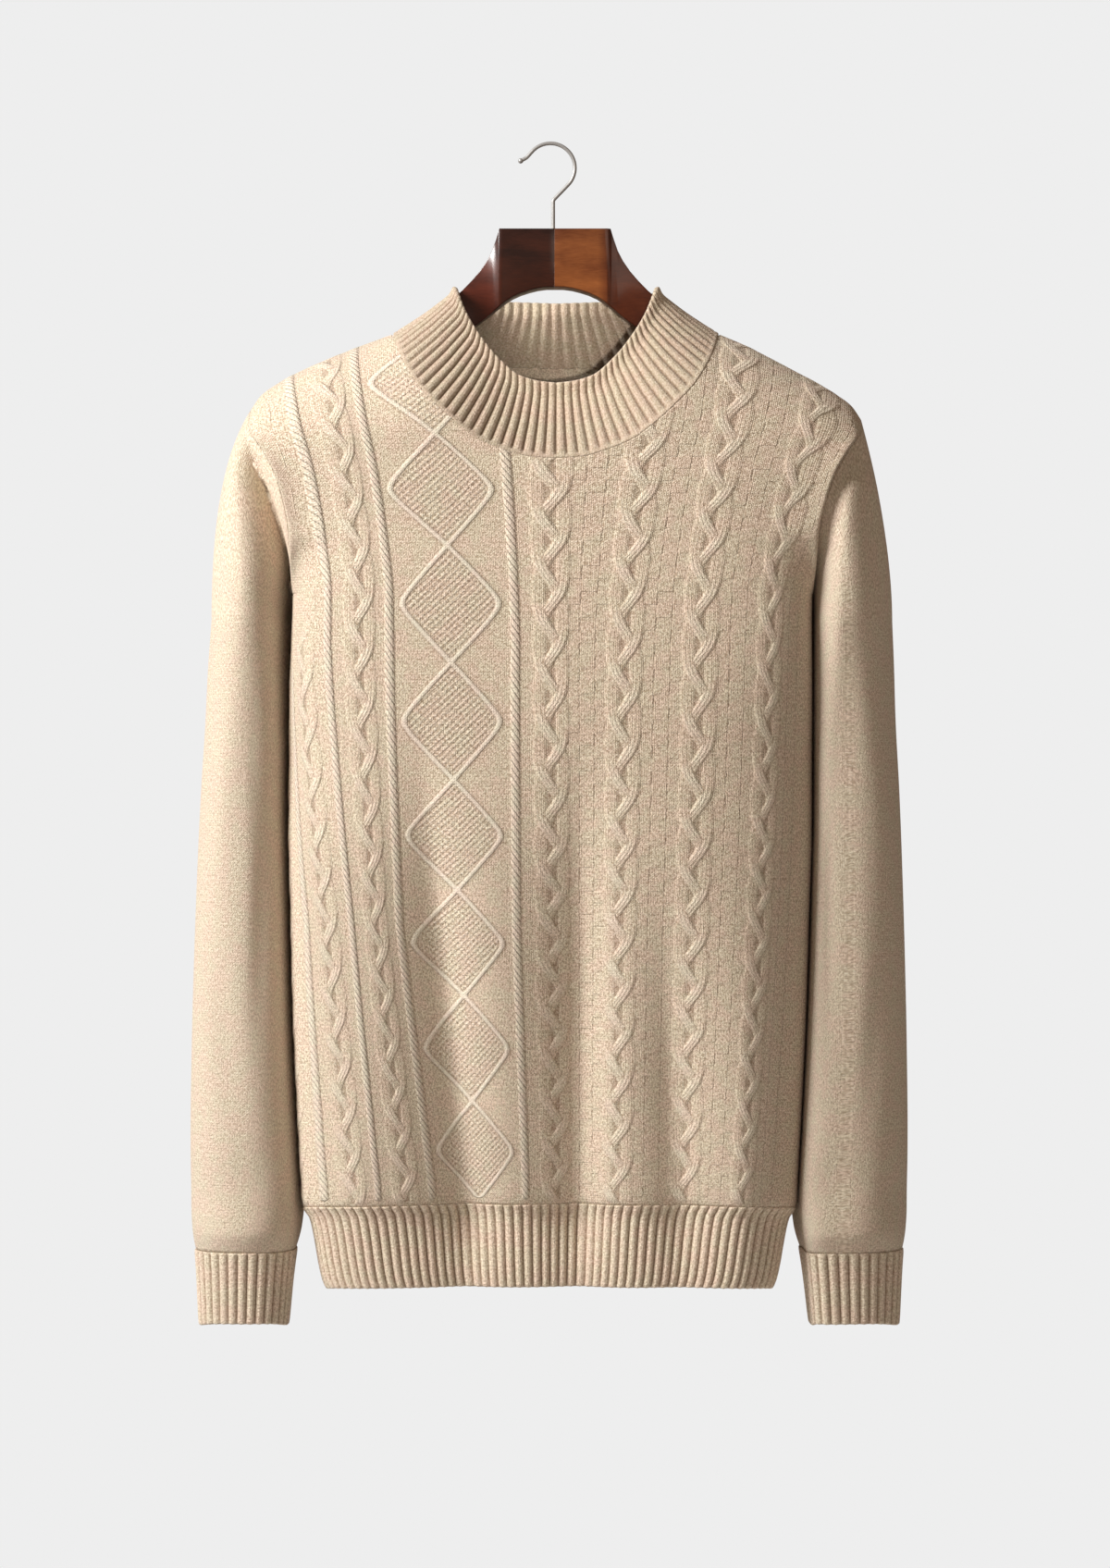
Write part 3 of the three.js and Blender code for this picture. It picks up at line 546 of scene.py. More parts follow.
def front_panel():
    finer = [(place, 14.5, 1.5) for place in PLAITS["wale"]]
    finer += [(place, 5.5, 1.15) for place in ROPES["wale"]] + [(DIAMOND["wale"], 38, 1.65)]
    wales = knit_columns(-238, 226, 2.3, finer)
    z = panel_heights(FRONT, lambda at: panel_fraction(wales, at), 230, 104)
    fraction = panel_fraction(wales, z)
    base = body_point(FRONT, fraction, z)
    course = reader(COURSES, "z", "course")(z)
    length = lengths_along(base, 0)
    for column in range(len(wales)):
        start = np.interp(ARC_START, z[:, column], length[:, column])
        above = z[:, column] > ARC_START
        first = reader(COURSES, "z", "course")(ARC_START)
        course[above, column] = first + length[above, column] - start
    edge = np.where(wales < 0, 238.0, 226.0)
    squeeze = (ARMHOLE_WALE - LAST_FULL_WALE) / (edge - LAST_FULL_WALE)
    squeezed = LAST_FULL_WALE + (np.abs(wales) - LAST_FULL_WALE) * squeeze
    squeezed = np.where(np.abs(wales) > LAST_FULL_WALE, np.sign(wales) * squeezed, wales)
    wale = mix(np.broadcast_to(wales, z.shape), squeezed, smoothstep(z, -335, -270))
    relief, masks = front_pattern(wale, course, z)
    along, up = lengths_along(base, 1), lengths_along(base, 0)
    from_side = np.minimum(along, along[:, -1:] - along)
    relief = relief * smoothstep(from_side, 0, 9) * mix(0.3, 1, smoothstep(up[-1:] - up, 2, 20))
    relief = relief * smoothstep(up, 0.5, 5)
    relief = relief - seam_dip(base, depth=0.4, sides=(False, False, True, False))
    shown = smoothstep(from_side, 2, 11) * smoothstep(up, 0.5, 5)
    for name in ("moss", "basket", "braid"):
        masks[name] = masks[name] * shown
    for name in ("rope", "line"):
        masks[name] = masks[name] + 20 * (1 - shown)
    normal = outward(base, False)
    outer = base + normal * relief[..., None]
    outer[..., 1] = np.minimum(outer[..., 1], -HALF_SEAM)
    inner = base - normal * PLAIN_WALL
    inner[..., 1] = np.minimum(inner[..., 1], -HALF_SEAM)
    fabric = np.stack([wale, course], axis=-1)
    return shell("front_knit", outer, inner, 8, fabric, masks=masks)


def back_panel():
    fractions = np.sin(np.linspace(-math.pi / 2, math.pi / 2, 161))[::-1]
    z = panel_heights(BACK, lambda at: fractions + 0 * at, 130, 70)
    base = body_point(BACK, np.broadcast_to(fractions, z.shape), z)
    course = lengths_along(base, 0)
    wale = lengths_along(base, 1)[:129].mean(axis=0)
    relief = -seam_dip(base, sides=(False, False, True, True))
    normal = outward(base, False)
    outer = base + normal * relief[..., None]
    outer[..., 1] = np.maximum(outer[..., 1], HALF_SEAM)
    inner = base - normal * PLAIN_WALL
    inner[..., 1] = np.maximum(inner[..., 1], HALF_SEAM)
    fabric = np.stack([np.broadcast_to(wale, z.shape), course], axis=-1)
    return shell("back_knit", outer, inner, 2, fabric)


def rib_shape(turn, depth):
    """One by one rib: broad round wales with narrow sunken ones between them."""
    wave = np.abs(np.sin(np.pi * turn)) ** 0.7
    return depth * (2 * wave - 1.3)


def rib_inside(turn, depth):
    """The same rib seen from inside, where its sunken wales become the round ones."""
    return rib_shape(turn + 0.5, depth)


def rib_hollow(turn):
    """Where a rib's sunken wales lie, as a mask; the material darkens them as painted shade."""
    return np.clip(1 - np.abs(np.sin(np.pi * turn)) / 0.6, 0, 1)


def edge_round(distance, radius):
    """How far a face draws in towards the middle of the wall, close to a free edge."""
    t = np.clip(1 - distance / radius, 0, 1)
    return radius * (1 - np.sqrt(1 - t * t))


def band_rows(height, count):
    """Heights of a band's rows above its free edge, closer together at both edges."""
    return np.concatenate([[0, 0.5, 1.0, 1.6], np.linspace(3, height - 2.5, count), [height - 1, height]])


def band_faces(grid, tube, turns, rows, depth):
    """Both faces of a ribbed band whose free edge is below, and the mask of its sunken wales, which
    the material darkens as painted shade.
    """
    fade = (mix(0.75, 1, smoothstep(rows, 0, 6)) * mix(0.5, 1, smoothstep(rows[-1] - rows, 0, 3)))[:, None]
    rounding = edge_round(rows, FREE_EDGE_RADIUS)[:, None]
    normal = outward(grid, tube)
    outer = grid + normal * (rib_shape(turns, depth) * fade - rounding)[..., None]
    inner = grid - normal * (RIB_WALL + rib_inside(turns, 0.8) - rounding * 0.6)[..., None]
    return outer, inner, rib_hollow(turns) * fade


def hem_band(side, name, ribs):
    turns = np.linspace(-math.pi / 2, math.pi / 2, 1201)
    probe = body_point(side, np.sin(turns), np.full(1201, -790.0))
    length = lengths_along(probe[None], 1)[0]
    per_rib = 8
    share = np.linspace(0, 1, ribs * per_rib + 1)
    fractions = np.interp(share * length[-1], length, np.sin(turns))
    if side["facing"] > 0:
        fractions = fractions[::-1]
    rows = band_rows(HEM_SEAM - HALF_SEAM - HEM_BOTTOM, 14)
    z = np.repeat((HEM_BOTTOM + rows)[:, None], len(fractions), axis=1)
    base = body_point(side, np.broadcast_to(fractions, z.shape), z)
    outer, inner, hollow = band_faces(base, False, share * ribs, rows, 1.05)
    for face in (outer, inner):
        face[..., 1] = side["facing"] * np.maximum(HALF_SEAM, side["facing"] * face[..., 1])
    fabric = np.stack(np.broadcast_arrays(share * ribs * RIB_PITCH, rows[:, None]), axis=-1)
    return shell(name, outer, inner, 1, fabric, masks=dict(hollow=hollow))


def collar_ring(side, count):
    """Evenly spaced points of half the collar's base and top, in order along the outside."""
    probe = np.linspace(-1, 1, 2001)
    probe = np.sin(probe * math.pi / 2)
    if side["facing"] > 0:
        probe = probe[::-1]
    x = probe * NECK_HALF_WIDTH
    z = reader(side["neckline"], "x", "z")(np.abs(x))
    base = body_point(side, x / half_at(z), z)
    top_x = probe * COLLAR_TOP_HALF_WIDTH
    edge = COLLAR_TOP[side["facing"]]
    top_z = reader(edge["heights"], "x", "z")(np.abs(top_x))
    top_y = side["facing"] * edge["reach"] * roundness_at(probe)
    top = np.stack([lean_at(top_z) + top_x, top_y, top_z], axis=-1)
    share = np.arange(count) / count
    rings = []
    for points in (base, top):
        length = lengths_along(points[None], 1)[0]
        at = share * length[-1]
        rings.append(np.stack([np.interp(at, length, points[:, axis]) for axis in range(3)], axis=-1))
    return rings


def collar():
    per_rib, front_ribs, back_ribs = 9, 50, 32
    front = collar_ring(FRONT, front_ribs * per_rib)
    back = collar_ring(BACK, back_ribs * per_rib)
    base, top = (np.concatenate([f, b]) for f, b in zip(front, back))
    columns = len(base)
    share = np.concatenate([[0, 0.012, 0.03, 0.05], np.linspace(0.08, 0.95, 20), [0.975, 0.99, 1]])
    grid = base[None] + (top - base)[None] * share[:, None, None]
    inward = np.stack([lean_at(grid[..., 2]) - grid[..., 0], -grid[..., 1], 0 * grid[..., 0]], axis=-1)
    inward /= np.linalg.norm(inward, axis=-1, keepdims=True)
    hollow = reader(COLLAR_RISE, "share", "hollow")(share)
    grid = grid + inward * hollow[:, None, None]
    up = lengths_along(grid, 0)
    from_top = up[-1:] - up
    rib = rib_shape(np.arange(columns) / per_rib, 0.95)
    fade = mix(0.1, 1, smoothstep(up, 2.4, 4.6)) * mix(0.75, 1, smoothstep(from_top, 0, 5))
    linked_seam = 0.7 * bump_shape(up - 1.5, 1.1)
    hollow = rib_hollow(np.arange(columns) / per_rib)[None] * fade
    rounding = edge_round(from_top, FREE_EDGE_RADIUS)
    relief = rib[None] * fade
    normal = outward(grid, True)
    outer = grid + normal * (relief + linked_seam - rounding)[..., None]
    thickness = COLLAR_WALL + rib_inside(np.arange(columns) / per_rib, 1.1)[None] - rounding * 0.7
    inner = grid - normal * thickness[..., None]
    wale = np.arange(columns + 1) / per_rib * 6.4
    course = np.concatenate([up, up[:, :1]], axis=1)
    fabric = np.stack([np.broadcast_to(wale, course.shape), course], axis=-1)
    return shell("collar_rib", outer, inner, 1, fabric, tube=True, masks=dict(hollow=hollow))


def sleeve_ring(hand, angle, z):
    outer = reader(SLEEVE, "z", "outer")(z)
    inner = reader(SLEEVE, "z", "inner")(z)
    middle = lean_at(z) + hand * (outer + inner) / 2
    hang = SLEEVE_SET[hand]
    power = 2 / np.where(hand * np.cos(angle) < 0, hang["inner"], hang["outer"])
    across = np.sign(np.cos(angle)) * np.abs(np.cos(angle)) ** power
    deep = np.sign(np.sin(angle)) * np.abs(np.sin(angle)) ** power
    aside = (outer - inner) / 2 * (across - hang["shift"] * (1 - across * across))
    x = middle + aside
    y = reader(SLEEVE, "z", "half_depth")(z) * deep + hang["turn"] * aside
    tuck = reader(SLEEVE_TUCK, "z", "x")(z) * (hand * across < 0) * bump_shape(y - 24, 14)
    return np.stack(np.broadcast_arrays(x - hand * tuck, y, z), axis=-1)


def sleeve_head(hand, angle, share):
    """The head leaves the armhole sideways and turns down into the hanging sleeve."""
    turn = -angle if hand > 0 else np.pi + angle
    z = ARMHOLE_BOTTOM + armhole_wrap(hand) * (1 + np.cos(turn))
    x = lean_at(z) + hand * (half_at(z) + SEAM_GAP)
    start = np.stack([x, ARMHOLE_HALF_DEPTH * np.sin(angle), z], axis=-1)
    end = sleeve_ring(hand, angle, np.full_like(angle, SLEEVE_HEAD_END))
    length = (start[..., 2] - end[..., 2])[..., None]
    crown = smoothstep(np.cos(turn), 0.2, 1)
    armpit = smoothstep(-np.cos(turn), 0.5, 0.97)
    slopes = zip(SLEEVE_HEAD_SLOPE, SLEEVE_CROWN_SLOPE[hand], SLEEVE_ARMPIT_SLOPE)
    slope = [mix(mix(front, top, crown), under, armpit) for front, top, under in slopes]
    leave = length * np.stack([hand * slope[0], 0 * crown, slope[1]], axis=-1)
    arrive = length * np.array([0, 0, -1.0])
    s = share[:, None, None]
    square, cube = s * s, s * s * s
    point = (2 * cube - 3 * square + 1) * start + (cube - 2 * square + s) * leave
    point = point + (3 * square - 2 * cube) * end + (cube - square) * arrive
    return point, turn


# The valley that the right sleeve makes beside the armhole and the soft ridge of the left one: how
# far out the line lies, how deep the cloth sinks there and how wide the slope beyond it is.
VALLEY = {
    -1: table("z out depth width", [
        (-440, 186.5, 0, 34), (-400, 186, 4, 34), (-345, 185, 13, 34), (-315, 184.5, 23, 34),
        (-295, 187.5, 28, 33), (-275, 193, 30, 29), (-252, 201, 26, 24), (-235, 208, 18, 19),
        (-215, 217, 4, 15), (-208, 220, 0, 14),
    ]),
    1: table("z out depth width", [
        (-500, 200, 0, 24), (-400, 201, -3, 24), (-300, 204, -7, 26), (-252, 209, -6, 26),
        (-232, 214, -2, 22), (-222, 216, 0, 20),
    ]),
}
# Creases of a sleeve: the angle is from its outer edge over the front, negative behind.
SLEEVE_CREASES = table("z angle reach_z reach_angle depth tilt", [
    (-430, 100, 70, 14, 1.2, -0.1),
    (-470, 60, 90, 16, -1.6, 0.05),
    (-560, 112, 80, 14, 2.0, 0.08),
    (-640, 70, 60, 16, 1.6, -0.15),
    (-735, 95, 22, 30, 1.8, 0),
    (-748, 40, 18, 30, 1.4, 0),
    (-380, -150, 80, 13, 6, 0),
    (-520, -80, 90, 18, 2.2, 0.1),
    (-650, -110, 70, 16, 2.0, -0.1),
    (-740, -80, 20, 34, 1.8, 0),
])


def sink_beside_armhole(hand, grid):
    """Moves a sleeve's points into its valley or out to its ridge, and a little at its back too."""
    z, y = grid[..., 2], grid[..., 1]
    out = hand * (grid[..., 0] - lean_at(z))
    line, depth, width = (reader(VALLEY[hand], "z", name)(z) for name in ("out", "depth", "width"))
    seam = half_at(z) + SEAM_GAP
    slope = np.clip(1 - (out - line) / width, 0, 1) ** 1.5
    flap = np.clip((out - seam) / np.maximum(line - seam, 0.5), 0, 1) ** 2
    valley = np.where(out > line, slope, flap)
    ridge = bump_shape(out - line, np.where(out > line, width, 9)) * smoothstep(out - seam, -2, 5)
    shape = np.where(depth > 0, valley, ridge)
    grid[..., 1] += depth * shape * (smoothstep(-y, 4, 30) - 0.12 * smoothstep(y, 4, 30))


def sleeve(hand, name):
    columns = 120
    angle = np.arange(columns) * 2 * np.pi / columns
    head_rows, lower_rows = 64, 200
    head, turn = sleeve_head(hand, angle, np.linspace(0, 1, head_rows + 1)[:-1])
    z = np.linspace(SLEEVE_HEAD_END, CUFF_SEAM + HALF_SEAM, lower_rows)
    lower = sleeve_ring(hand, angle[None], z[:, None])
    grid = np.concatenate([head, lower])[::-1]
    sink_beside_armhole(hand, grid)
    depth = 0
    degrees = np.degrees(np.angle(np.exp(1j * turn)))[None]
    for at_z, at_angle, reach_z, reach_angle, amount, tilt in zip(*SLEEVE_CREASES.values()):
        offset = degrees - at_angle - tilt * (grid[..., 2] - at_z)
        depth = depth + amount * bump_shape(offset, reach_angle) * bump_shape(grid[..., 2] - at_z, reach_z)
    depth = depth * smoothstep(178 - np.abs(degrees), 0, 12)
    up = lengths_along(grid, 0)
    from_seam = up[-1:] - up
    depth = depth * smoothstep(from_seam, 2, 30)
    depth = depth + 0.5 * bump_shape(up, 3)
    normal = outward(grid, True)
    outer = grid - normal * depth[..., None]
    inner = grid - normal * (depth + PLAIN_WALL)[..., None]
    for face in (outer, inner):
        seam = lean_at(face[..., 2]) + hand * (half_at(face[..., 2]) + SEAM_GAP)
        above = face[..., 2] > ARMHOLE_BOTTOM
        held = np.maximum(hand * face[..., 0], hand * seam) * hand
        face[..., 0] = np.where(above, held, face[..., 0])
    wale = np.arange(columns + 1) * 2 * np.pi / columns * 45
    course = up.mean(axis=1)[:, None] + 0 * wale
    fabric = np.stack([np.broadcast_to(wale, course.shape), course], axis=-1)
    return shell(name, outer, inner, 3, fabric, tube=True)


def cuff(hand, name):
    ribs, per_rib = 30, 8
    probe = np.linspace(0, 2 * np.pi, 2001)
    points = sleeve_ring(hand, probe, np.full(2001, -815.0))
    length = lengths_along(points[None], 1)[0]
    share = np.arange(ribs * per_rib) / (ribs * per_rib)
    angle = np.interp(share * length[-1], length, probe)
    rows = band_rows(CUFF_SEAM - HALF_SEAM - CUFF_BOTTOM, 13)
    grid = sleeve_ring(hand, angle[None], (CUFF_BOTTOM + rows)[:, None])
    grid[..., 2] += CUFF_LIFT * smoothstep(-grid[..., 1], 0, 30) * (1 - rows[:, None] / rows[-1])
    outer, inner, hollow = band_faces(grid, True, share * ribs, rows, 1.0)
    wale = np.arange(ribs * per_rib + 1) / per_rib * RIB_PITCH
    fabric = np.stack(np.broadcast_arrays(wale[None], rows[:, None]), axis=-1)
    return shell(name, outer, inner, 1, fabric, tube=True, masks=dict(hollow=hollow))


# ---- Hanger and hook, modelled one by one ---------------------------------------------------------

HANGER_MIDDLE = 3.3
HANGER_JOINT = 2.9
HANGER_TOP = -60.7
CREASE = {-1: 39.6, 1: 34.7}  # where the block's flat face ends on either side
HANGER = table("x top bottom", [
    (6, HANGER_TOP, -102.1),
    (12, HANGER_TOP, -102.9),
    (18, HANGER_TOP, -104.4),
    (24, HANGER_TOP, -106.3),
    (30, HANGER_TOP, -109),
    (34.7, HANGER_TOP, -112),
    (37.2, HANGER_TOP, -113.9),
    (39.6, HANGER_TOP, -115.8),
    (40.4, -63.5, -116.5),
    (42, -68.5, -117.8),
    (44.8, -76.5, -120.2),
    (48.5, -83.5, -123.2),
    (53.5, -90.8, -127),
    (59, -97.2, -130.6),
    (66, -104.5, -135),
    (76, -113.4, -140.5),
    (94, -126.8, -149.5),
    (112, -138, -158),
    (137.6, -149, -169),
    (166, -161.6, -182),
    (185, -172.8, -190),
    (198, -180.8, -195.8),
    (204.5, -185.6, -196.0),
    (207, -188.4, -194.6),
])
HANGER_THICKNESS = table("beyond half", [
    (-40, 11), (0, 11), (1.5, 9.9), (3.3, 9.1), (6, 8.4), (9.5, 7.9), (14.5, 7.6), (21.5, 7.9), (29.5, 8.8),
    (39.5, 10.6), (57.5, 13.4), (75, 15.2), (100, 16.4), (129, 17.6), (148, 18), (161, 16.8), (167, 12.5),
    (170, 8),
])


def deselect():
    if bpy.context.object and bpy.context.object.mode != "OBJECT":
        bpy.ops.object.mode_set(mode="OBJECT")
    bpy.ops.object.select_all(action="DESELECT")


def select_where(piece, test, kind="faces"):
    """In edit mode, selects only the faces or edges whose middle passes the test."""
    bpy.ops.mesh.select_all(action="DESELECT")
    bpy.ops.object.mode_set(mode="OBJECT")
    mesh = piece.data
    if kind == "faces":
        for face in mesh.polygons:
            face.select = test(face.center, face.normal)
    else:
        for edge in mesh.edges:
            a, b = (mesh.vertices[i].co for i in edge.vertices)
            edge.select = test((a + b) / 2, (b - a).normalized())
    bpy.ops.object.mode_set(mode="EDIT")


def settle(piece):
    """Puts the piece's place into its mesh."""
    bpy.ops.object.mode_set(mode="OBJECT")
    bpy.ops.object.transform_apply(location=True, rotation=True, scale=True)
    return piece


def hanger_half(hand, name):
    deselect()
    half_thick = reader(HANGER_THICKNESS, "beyond", "half")
    rows = list(zip(*HANGER.values()))
    at_x, at_top, at_bottom = rows[0]
    at_thick = 11.0
    start = HANGER_JOINT + hand * 0.01
    end = HANGER_MIDDLE + hand * at_x
    bpy.ops.mesh.primitive_cube_add(
        size=1,
        location=((start + end) / 2 * MM, 0, (at_top + at_bottom) / 2 * MM),
        scale=(abs(end - start) * MM, 2 * at_thick * MM, (at_top - at_bottom) * MM),
    )
    piece = bpy.context.object
    piece.name = piece.data.name = name
    settle(piece)
    bpy.ops.object.mode_set(mode="EDIT")
    bpy.ops.mesh.select_mode(type="EDGE")
    select_where(piece, lambda middle, way: abs(way.x) > 0.9, "edges")
    bpy.ops.mesh.bevel(offset=0.7 * MM, segments=2, affect="EDGES")
    bpy.ops.mesh.select_mode(type="FACE")
    select_where(piece, lambda middle, normal: normal.x * hand > 0.9)
    for x, top, bottom in rows[1:]:
        thick = float(half_thick(min(x - CREASE[hand], 170 + x - 207)))
        shift = (hand * (x - at_x) * MM, 0, ((top + bottom) - (at_top + at_bottom)) / 2 * MM)
        bpy.ops.mesh.extrude_region_move(TRANSFORM_OT_translate={"value": shift})
        centre = ((HANGER_MIDDLE + hand * x) * MM, 0, (top + bottom) / 2 * MM)
        scale = (1, thick / at_thick, (top - bottom) / (at_top - at_bottom))
        bpy.ops.transform.resize(value=scale, center_override=centre)
        at_x, at_top, at_bottom, at_thick = x, top, bottom, thick
    bpy.ops.object.mode_set(mode="OBJECT")
    soften = piece.modifiers.new("Rounded arris", "BEVEL")
    soften.width = 0.25 * MM
    soften.segments = 3
    soften.limit_method = "ANGLE"
    soften.angle_limit = math.radians(38)
    bpy.ops.object.modifier_apply(modifier=soften.name)
    bpy.ops.object.shade_smooth_by_angle(angle=math.radians(32))
    return piece


WIRE = 1.35
CROWN_RADIUS = 17.5
CROWN = (0.0, WIRE - CROWN_RADIUS)
SHANK = 2.0
SHANK_FOOT = -83.5
NECK_BEND = 3.0
NECK_TURN = 44.0
TIP_ANGLE = 138.0
TIP_STRAIGHT = 5.0
TIP_BEND = 6.0
TIP_TURN = 20.0
TIP_END = 3.6
TIP_BALL_RADIUS = 1.9


def hook():
    """The wire, led from its foot in the hanger round the neck bend and the crown to the tip."""
    deselect()
    bpy.ops.mesh.primitive_circle_add(
        vertices=20, radius=WIRE * MM, fill_type="NGON", location=(SHANK * MM, 0, SHANK_FOOT * MM))
    piece = bpy.context.object
    piece.name = piece.data.name = "hook_wire_round"
    settle(piece)
    bpy.ops.object.mode_set(mode="EDIT")
    bpy.ops.mesh.select_mode(type="FACE")
    bpy.ops.mesh.select_all(action="SELECT")
    neck = math.radians(NECK_TURN)
    crown_start = (CROWN_RADIUS * math.cos(neck), CROWN[1] - CROWN_RADIUS * math.sin(neck))
    bend_end_x = SHANK + NECK_BEND * (1 - math.cos(neck))
    slant = (crown_start[0] - bend_end_x) / math.sin(neck)
    bend_z = crown_start[1] - slant * math.cos(neck) - NECK_BEND * math.sin(neck)

    def extrude(distance, heading):
        """Heading is measured from straight up towards +X."""
        way = (math.sin(heading) * distance * MM, 0, math.cos(heading) * distance * MM)
        bpy.ops.mesh.extrude_region_move(TRANSFORM_OT_translate={"value": way})

    def bend(centre, turn, steps):
        """A positive turn goes from +Z towards +X; the operator counts the other way."""
        middle = (centre[0] * MM, 0, centre[1] * MM)
        bpy.ops.mesh.spin(steps=steps, angle=-turn, axis=(0, 1, 0), center=middle)

    extrude(bend_z - SHANK_FOOT, 0)
    bend((SHANK + NECK_BEND, bend_z), neck, 10)
    extrude(slant, neck)
    bend(CROWN, -(neck + math.radians(TIP_ANGLE)), 64)
    tip = math.radians(TIP_ANGLE)
    heading = -tip
    extrude(TIP_STRAIGHT, heading)
    end_x = CROWN_RADIUS * math.cos(tip) + TIP_STRAIGHT * math.sin(heading)
    end_z = CROWN[1] + CROWN_RADIUS * math.sin(tip) + TIP_STRAIGHT * math.cos(heading)
    outside = (end_x + TIP_BEND * math.cos(heading), end_z - TIP_BEND * math.sin(heading))
    turn = math.radians(TIP_TURN)
    bend(outside, turn, 6)
    extrude(TIP_END, heading + turn)
    bpy.ops.mesh.select_all(action="SELECT")
    bpy.ops.mesh.remove_doubles(threshold=0.02 * MM)
    bpy.ops.mesh.normals_make_consistent(inside=False)
    bpy.ops.object.mode_set(mode="OBJECT")
    bpy.ops.object.shade_smooth_by_angle(angle=math.radians(50))
    end_ring = [v.co for v in piece.data.vertices if v.co.x < -19.0 * MM]
    middle = sum(end_ring, Vector()) / len(end_ring)
    bpy.ops.object.select_all(action="DESELECT")
    bpy.ops.mesh.primitive_uv_sphere_add(
        segments=24, ring_count=16, radius=TIP_BALL_RADIUS * MM, location=middle)
    ball = bpy.context.object
    settle(ball)
    bpy.ops.object.shade_smooth()
    ball.select_set(True)
    piece.select_set(True)
    bpy.context.view_layer.objects.active = piece
    bpy.ops.object.join()
    return piece


# ---- Materials ------------------------------------------------------------------------------------


class Field:
    """A number, colour or vector that changes over the surface. Arithmetic on it adds Math nodes."""

    def __init__(self, tree, socket):
        self.tree, self.socket = tree, socket

    def __add__(self, other):
        return calc("ADD", self, other)

    def __sub__(self, other):
        return calc("SUBTRACT", self, other)

    def __rsub__(self, other):
        return calc("SUBTRACT", other, self)

    def __mul__(self, other):
        return calc("MULTIPLY", self, other)

    def __truediv__(self, other):
        return calc("DIVIDE", self, other)

    def __pow__(self, other):
        return calc("POWER", self, other)

    def __abs__(self):
        return calc("ABSOLUTE", self)


def add(tree, kind, **settings):
    node = tree.nodes.new(kind)
    for key, value in settings.items():
        setattr(node, key, value)
    return node


def feed(tree, socket, value):
    """Links a field to a node's input, or sets the input to a plain value."""
    if isinstance(value, Field):
        tree.links.new(value.socket, socket)
    else:
        socket.default_value = value


def calc(operation, *values):
    """A Math node on fields and plain numbers."""
    tree = next(value.tree for value in values if isinstance(value, Field))
    node = add(tree, "ShaderNodeMath", operation=operation)
    for socket, value in zip(node.inputs, values):
        feed(tree, socket, value)
    return Field(tree, node.outputs[0])


def highest(field, *others):
    for other in others:
        field = calc("MAXIMUM", field, other)
    return field


def lowest(field, other):
    return calc("MINIMUM", field, other)


def noise(vector, scale, detail=3.0, roughness=0.6):
    node = add(vector.tree, "ShaderNodeTexNoise")
    node.inputs["Scale"].default_value = scale
    node.inputs["Detail"].default_value = detail
    node.inputs["Roughness"].default_value = roughness
    feed(vector.tree, node.inputs["Vector"], vector)
    return Field(vector.tree, node.outputs["Fac"])


def stretch(vector, scale):
    node = add(vector.tree, "ShaderNodeVectorMath", operation="MULTIPLY")
    feed(vector.tree, node.inputs[0], vector)
    node.inputs[1].default_value = scale
    return Field(vector.tree, node.outputs[0])


def parts_of(vector):
    """The vector's X, Y and Z."""
    node = add(vector.tree, "ShaderNodeSeparateXYZ")
    feed(vector.tree, node.inputs[0], vector)
    return [Field(vector.tree, socket) for socket in node.outputs]


def blend_colour(share, first, second):
    node = add(share.tree, "ShaderNodeMix", data_type="RGBA")
    for name, value in (("Factor", share), ("A", first), ("B", second)):
        feed(share.tree, node.inputs[name], value)
    return Field(share.tree, node.outputs["Result"])


def tinted(colour, tint):
    node = add(colour.tree, "ShaderNodeMix", data_type="RGBA", blend_type="MULTIPLY")
    for name, value in (("Factor", 1.0), ("A", colour), ("B", tint)):
        feed(colour.tree, node.inputs[name], value)
    return Field(colour.tree, node.outputs["Result"])


def remap(value, low, high, to_low=0.0, to_high=1.0):
    node = add(value.tree, "ShaderNodeMapRange")
    feed(value.tree, node.inputs["Value"], value)
    for name, number in (("From Min", low), ("From Max", high), ("To Min", to_low), ("To Max", to_high)):
        node.inputs[name].default_value = number
    return Field(value.tree, node.outputs["Result"])


def bumped(height, distance):
    """The normal of a surface with this height on it, counted in the distance given."""
    node = add(height.tree, "ShaderNodeBump")
    node.inputs["Distance"].default_value = distance
    node.inputs["Strength"].default_value = 1.0
    feed(height.tree, node.inputs["Height"], height)
    return Field(height.tree, node.outputs[0])


def effect_group(name, inputs, outputs, build):
    """A shader node group with named sockets. Build turns its inputs into its outputs, by name."""
    group = bpy.data.node_groups.new(name, "ShaderNodeTree")
    for socket, kind, value in inputs:
        made = group.interface.new_socket(name=socket, in_out="INPUT", socket_type=kind)
        if value is not None:
            made.default_value = value
    for socket, kind in outputs:
        group.interface.new_socket(name=socket, in_out="OUTPUT", socket_type=kind)
    entry = add(group, "NodeGroupInput")
    leave = add(group, "NodeGroupOutput")
    given = {socket: Field(group, entry.outputs[socket]) for socket, _, _ in inputs}
    for socket, value in build(given).items():
        feed(group, leave.inputs[socket], value)
    return group


